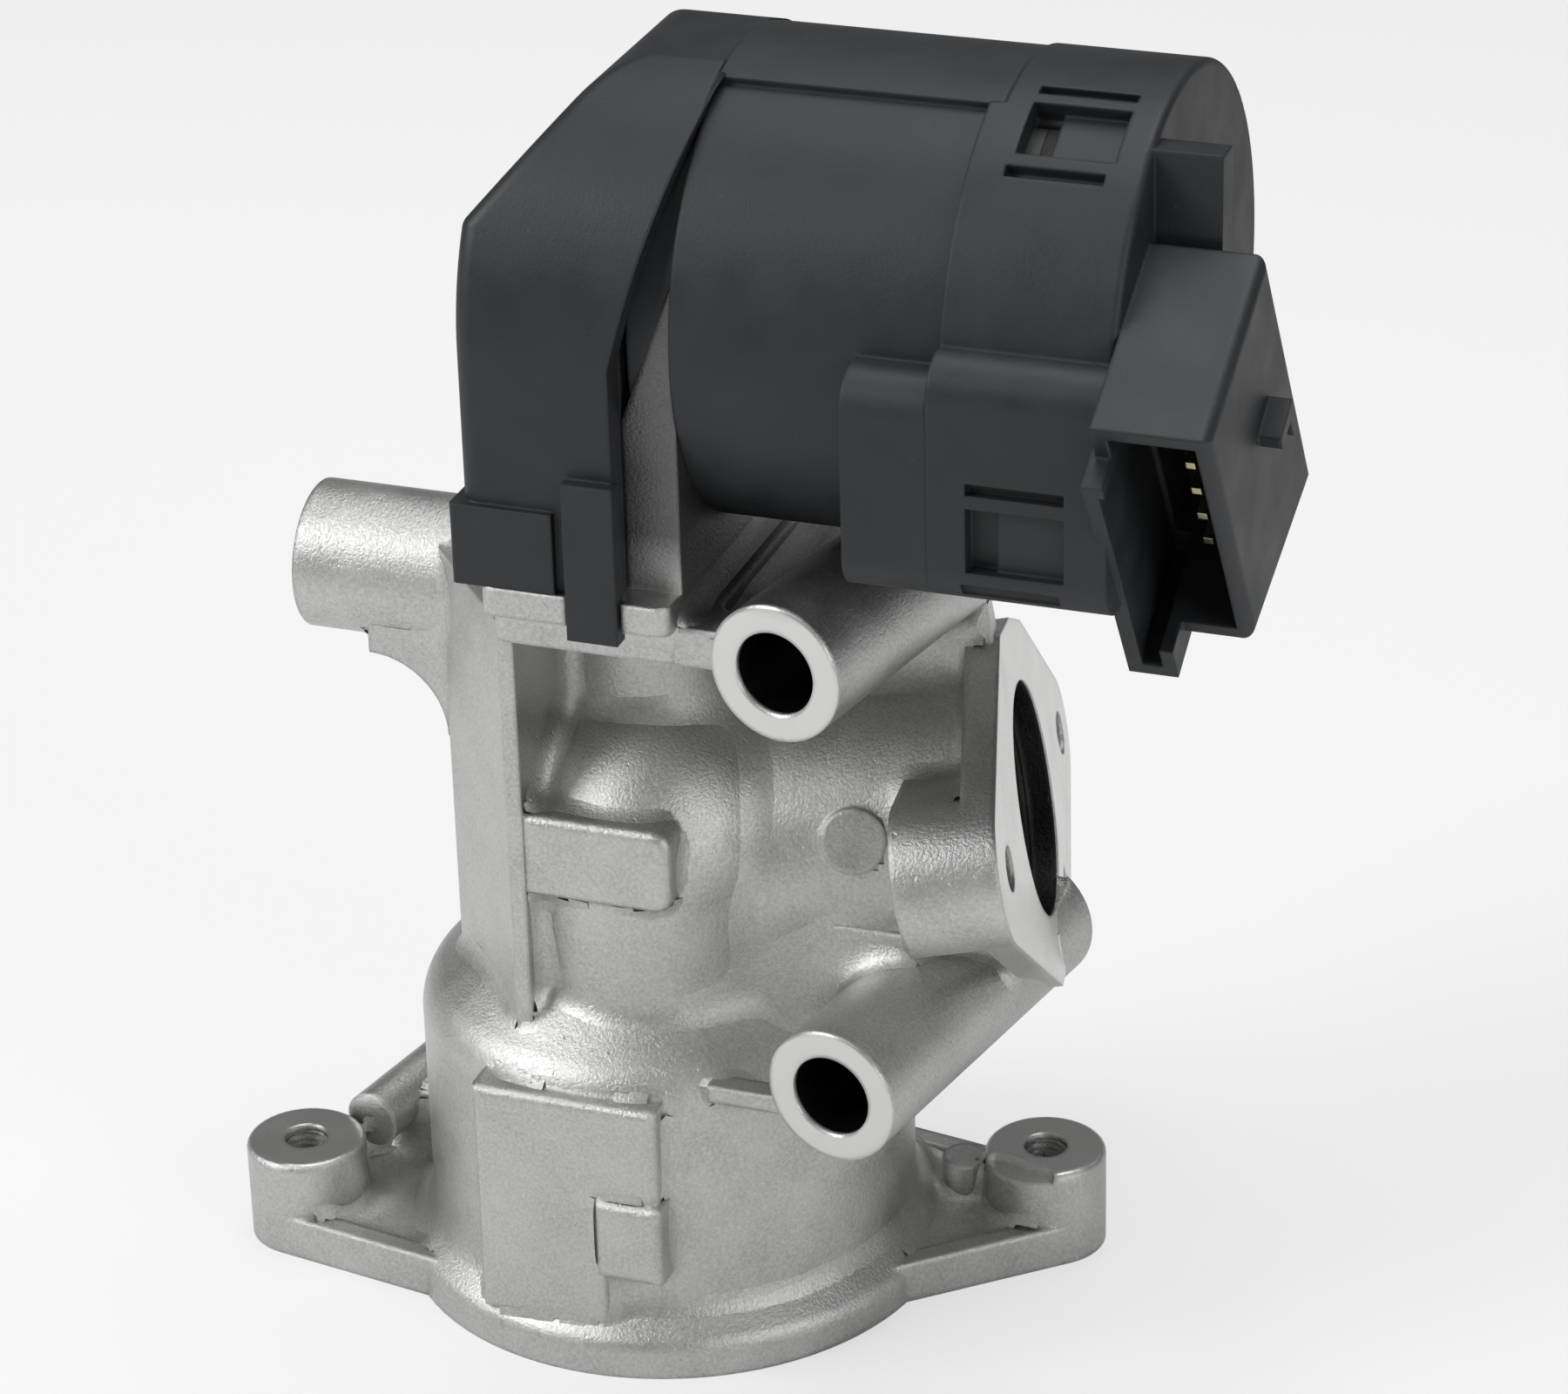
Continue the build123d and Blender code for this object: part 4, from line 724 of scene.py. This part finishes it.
def black_plastic():
    """Glass-filled moulding: dark slightly blue grey, fine spark grain, a few paler specks."""
    material, tree, shader, place = new_material("black_plastic")
    grain = add_group(tree, GRAIN, place, Fine=0.8, Broad=0.5, Pits=0.2)
    mottle = span(tree, grain["Mottle"], 0.35, 0.7)
    colour = blend_colour(tree, mottle, PLASTIC_DARK, PLASTIC_PALE)
    specks = span(tree, noise(tree, place, 700.0, 2.0, 0.6), 0.72, 0.80, 0.0, 0.25)
    colour = blend_colour(tree, specks, colour, PLASTIC_SPECK)
    tree.links.new(colour, shader.inputs["Base Color"])
    rough = span(tree, grain["Mottle"], 0.3, 0.7, 0.46, 0.58)
    tree.links.new(rough, shader.inputs["Roughness"])
    shader.inputs["Specular IOR Level"].default_value = 0.5
    normal = bump_normal(tree, grain["Height"], PLASTIC_GRAIN, PLASTIC_EDGE)
    tree.links.new(normal, shader.inputs["Normal"])
    return material


def plain_metal(name, dark, pale, roughness, grain_depth):
    """A turned or drawn metal with a mottled tone and a fine grain."""
    material, tree, shader, place = new_material(name)
    grain = add_group(tree, GRAIN, place, Fine=0.6, Broad=0.6, Pits=0.1)
    colour = blend_colour(tree, span(tree, grain["Mottle"], 0.3, 0.7), dark, pale)
    tree.links.new(colour, shader.inputs["Base Color"])
    rough = span(tree, grain["Mottle"], 0.3, 0.7, roughness - 0.05, roughness + 0.07)
    tree.links.new(rough, shader.inputs["Roughness"])
    shader.inputs["Metallic"].default_value = 1.0
    normal = bump_normal(tree, grain["Height"], grain_depth, METAL_EDGE)
    tree.links.new(normal, shader.inputs["Normal"])
    return material


def plain_moulding(name, dark, pale, roughness, grain_depth):
    """A moulded or pressed non-metal with a mottled tone and a fine grain."""
    material, tree, shader, place = new_material(name)
    grain = add_group(tree, GRAIN, place, Fine=0.7, Broad=0.5, Pits=0.2)
    colour = blend_colour(tree, span(tree, grain["Mottle"], 0.3, 0.7), dark, pale)
    tree.links.new(colour, shader.inputs["Base Color"])
    rough = span(tree, grain["Mottle"], 0.3, 0.7, roughness - 0.05, roughness + 0.08)
    tree.links.new(rough, shader.inputs["Roughness"])
    normal = bump_normal(tree, grain["Height"], grain_depth, MOULDING_EDGE)
    tree.links.new(normal, shader.inputs["Normal"])
    return material


def dress_nodes():
    """Every CAD node takes the material of its finish, and the scene's own pieces are added."""
    casting = cast_aluminium()
    plastic = black_plastic()
    steel = plain_metal("ground_steel", (0.42, 0.43, 0.44), (0.56, 0.57, 0.58), 0.28, 0.008 * MM)
    dark_steel = plain_metal("stacked_steel", (0.24, 0.25, 0.27), (0.34, 0.35, 0.37), 0.42, 0.02 * MM)
    brass = plain_metal("hobbed_brass", (0.66, 0.49, 0.22), (0.80, 0.62, 0.30), 0.27, 0.01 * MM)
    bronze = plain_metal("sintered_bronze", (0.46, 0.33, 0.18), (0.60, 0.45, 0.27), 0.5, 0.03 * MM)
    copper = plain_metal("enamelled_copper", (0.52, 0.22, 0.10), (0.72, 0.36, 0.18), 0.35, 0.05 * MM)
    contact = plain_metal("plated_contact", (0.62, 0.55, 0.34), (0.78, 0.70, 0.45), 0.25, 0.005 * MM)
    rubber = plain_moulding("seal_rubber", (0.012, 0.012, 0.012), (0.025, 0.025, 0.025), 0.7, 0.02 * MM)
    gear = plain_moulding("gear_moulding", (0.58, 0.55, 0.47), (0.72, 0.69, 0.60), 0.45, 0.015 * MM)
    ferrite = plain_moulding("ferrite", (0.05, 0.05, 0.055), (0.10, 0.10, 0.105), 0.55, 0.03 * MM)
    carbon = plain_moulding("pressed_carbon", (0.03, 0.03, 0.03), (0.06, 0.06, 0.06), 0.5, 0.03 * MM)
    board = plain_moulding("coated_board", (0.03, 0.13, 0.06), (0.05, 0.20, 0.09), 0.35, 0.01 * MM)
    finish = {
        "valve_body": casting,
        "valve_seat": steel,
        "valve_poppet": steel,
        "stem_bush": bronze,
        "stem_seal": rubber,
        "seal_cup": steel,
        "return_spring": steel,
        "spring_retainer": steel,
        "stem_rack": steel,
        "output_gear": gear,
        "output_axle": steel,
        "idler_gear": gear,
        "idler_axle": steel,
        "motor_pinion": brass,
        "motor_shaft": steel,
        "rotor_core": dark_steel,
        "rotor_windings": copper,
        "commutator": copper,
        "motor_magnets": ferrite,
        "motor_can": steel,
        "front_bearing": bronze,
        "rear_bearing": bronze,
        "brush_holder": gear,
        "brushes": carbon,
        "motor_screws": steel,
        "gear_cover": plastic,
        "cover_gasket": rubber,
        "motor_housing": plastic,
        "housing_seal": rubber,
        "end_cap": plastic,
        "connector_pins": contact,
        "sensor_magnet": ferrite,
        "sensor_board": board,
    }
    for node, material in finish.items():
        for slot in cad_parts[node].material_slots:
            slot.material = material
    for piece in (
        corner_fillets(),
        ear_thread("left_ear_thread", LEFT_EAR),
        ear_thread("right_ear_thread", RIGHT_EAR),
    ):
        piece.data.materials.append(casting)
        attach(piece, "housing")


make_camera()
make_world()
make_floor()
make_lamp("left_box", place=(-0.75, -0.55, 0.75), target=(0.0, 0.0, 0.08), size=0.55, power=7.6)
make_lamp("right_box", place=(0.85, -0.45, 0.45), target=(0.02, 0.0, 0.08), size=0.45, power=2.6)
make_lamp("top_box", place=(0.05, 0.15, 0.95), target=(0.0, 0.0, 0.1), size=0.6, power=4.2)
dress_nodes()

bpy.context.scene.view_settings.view_transform = "Standard"
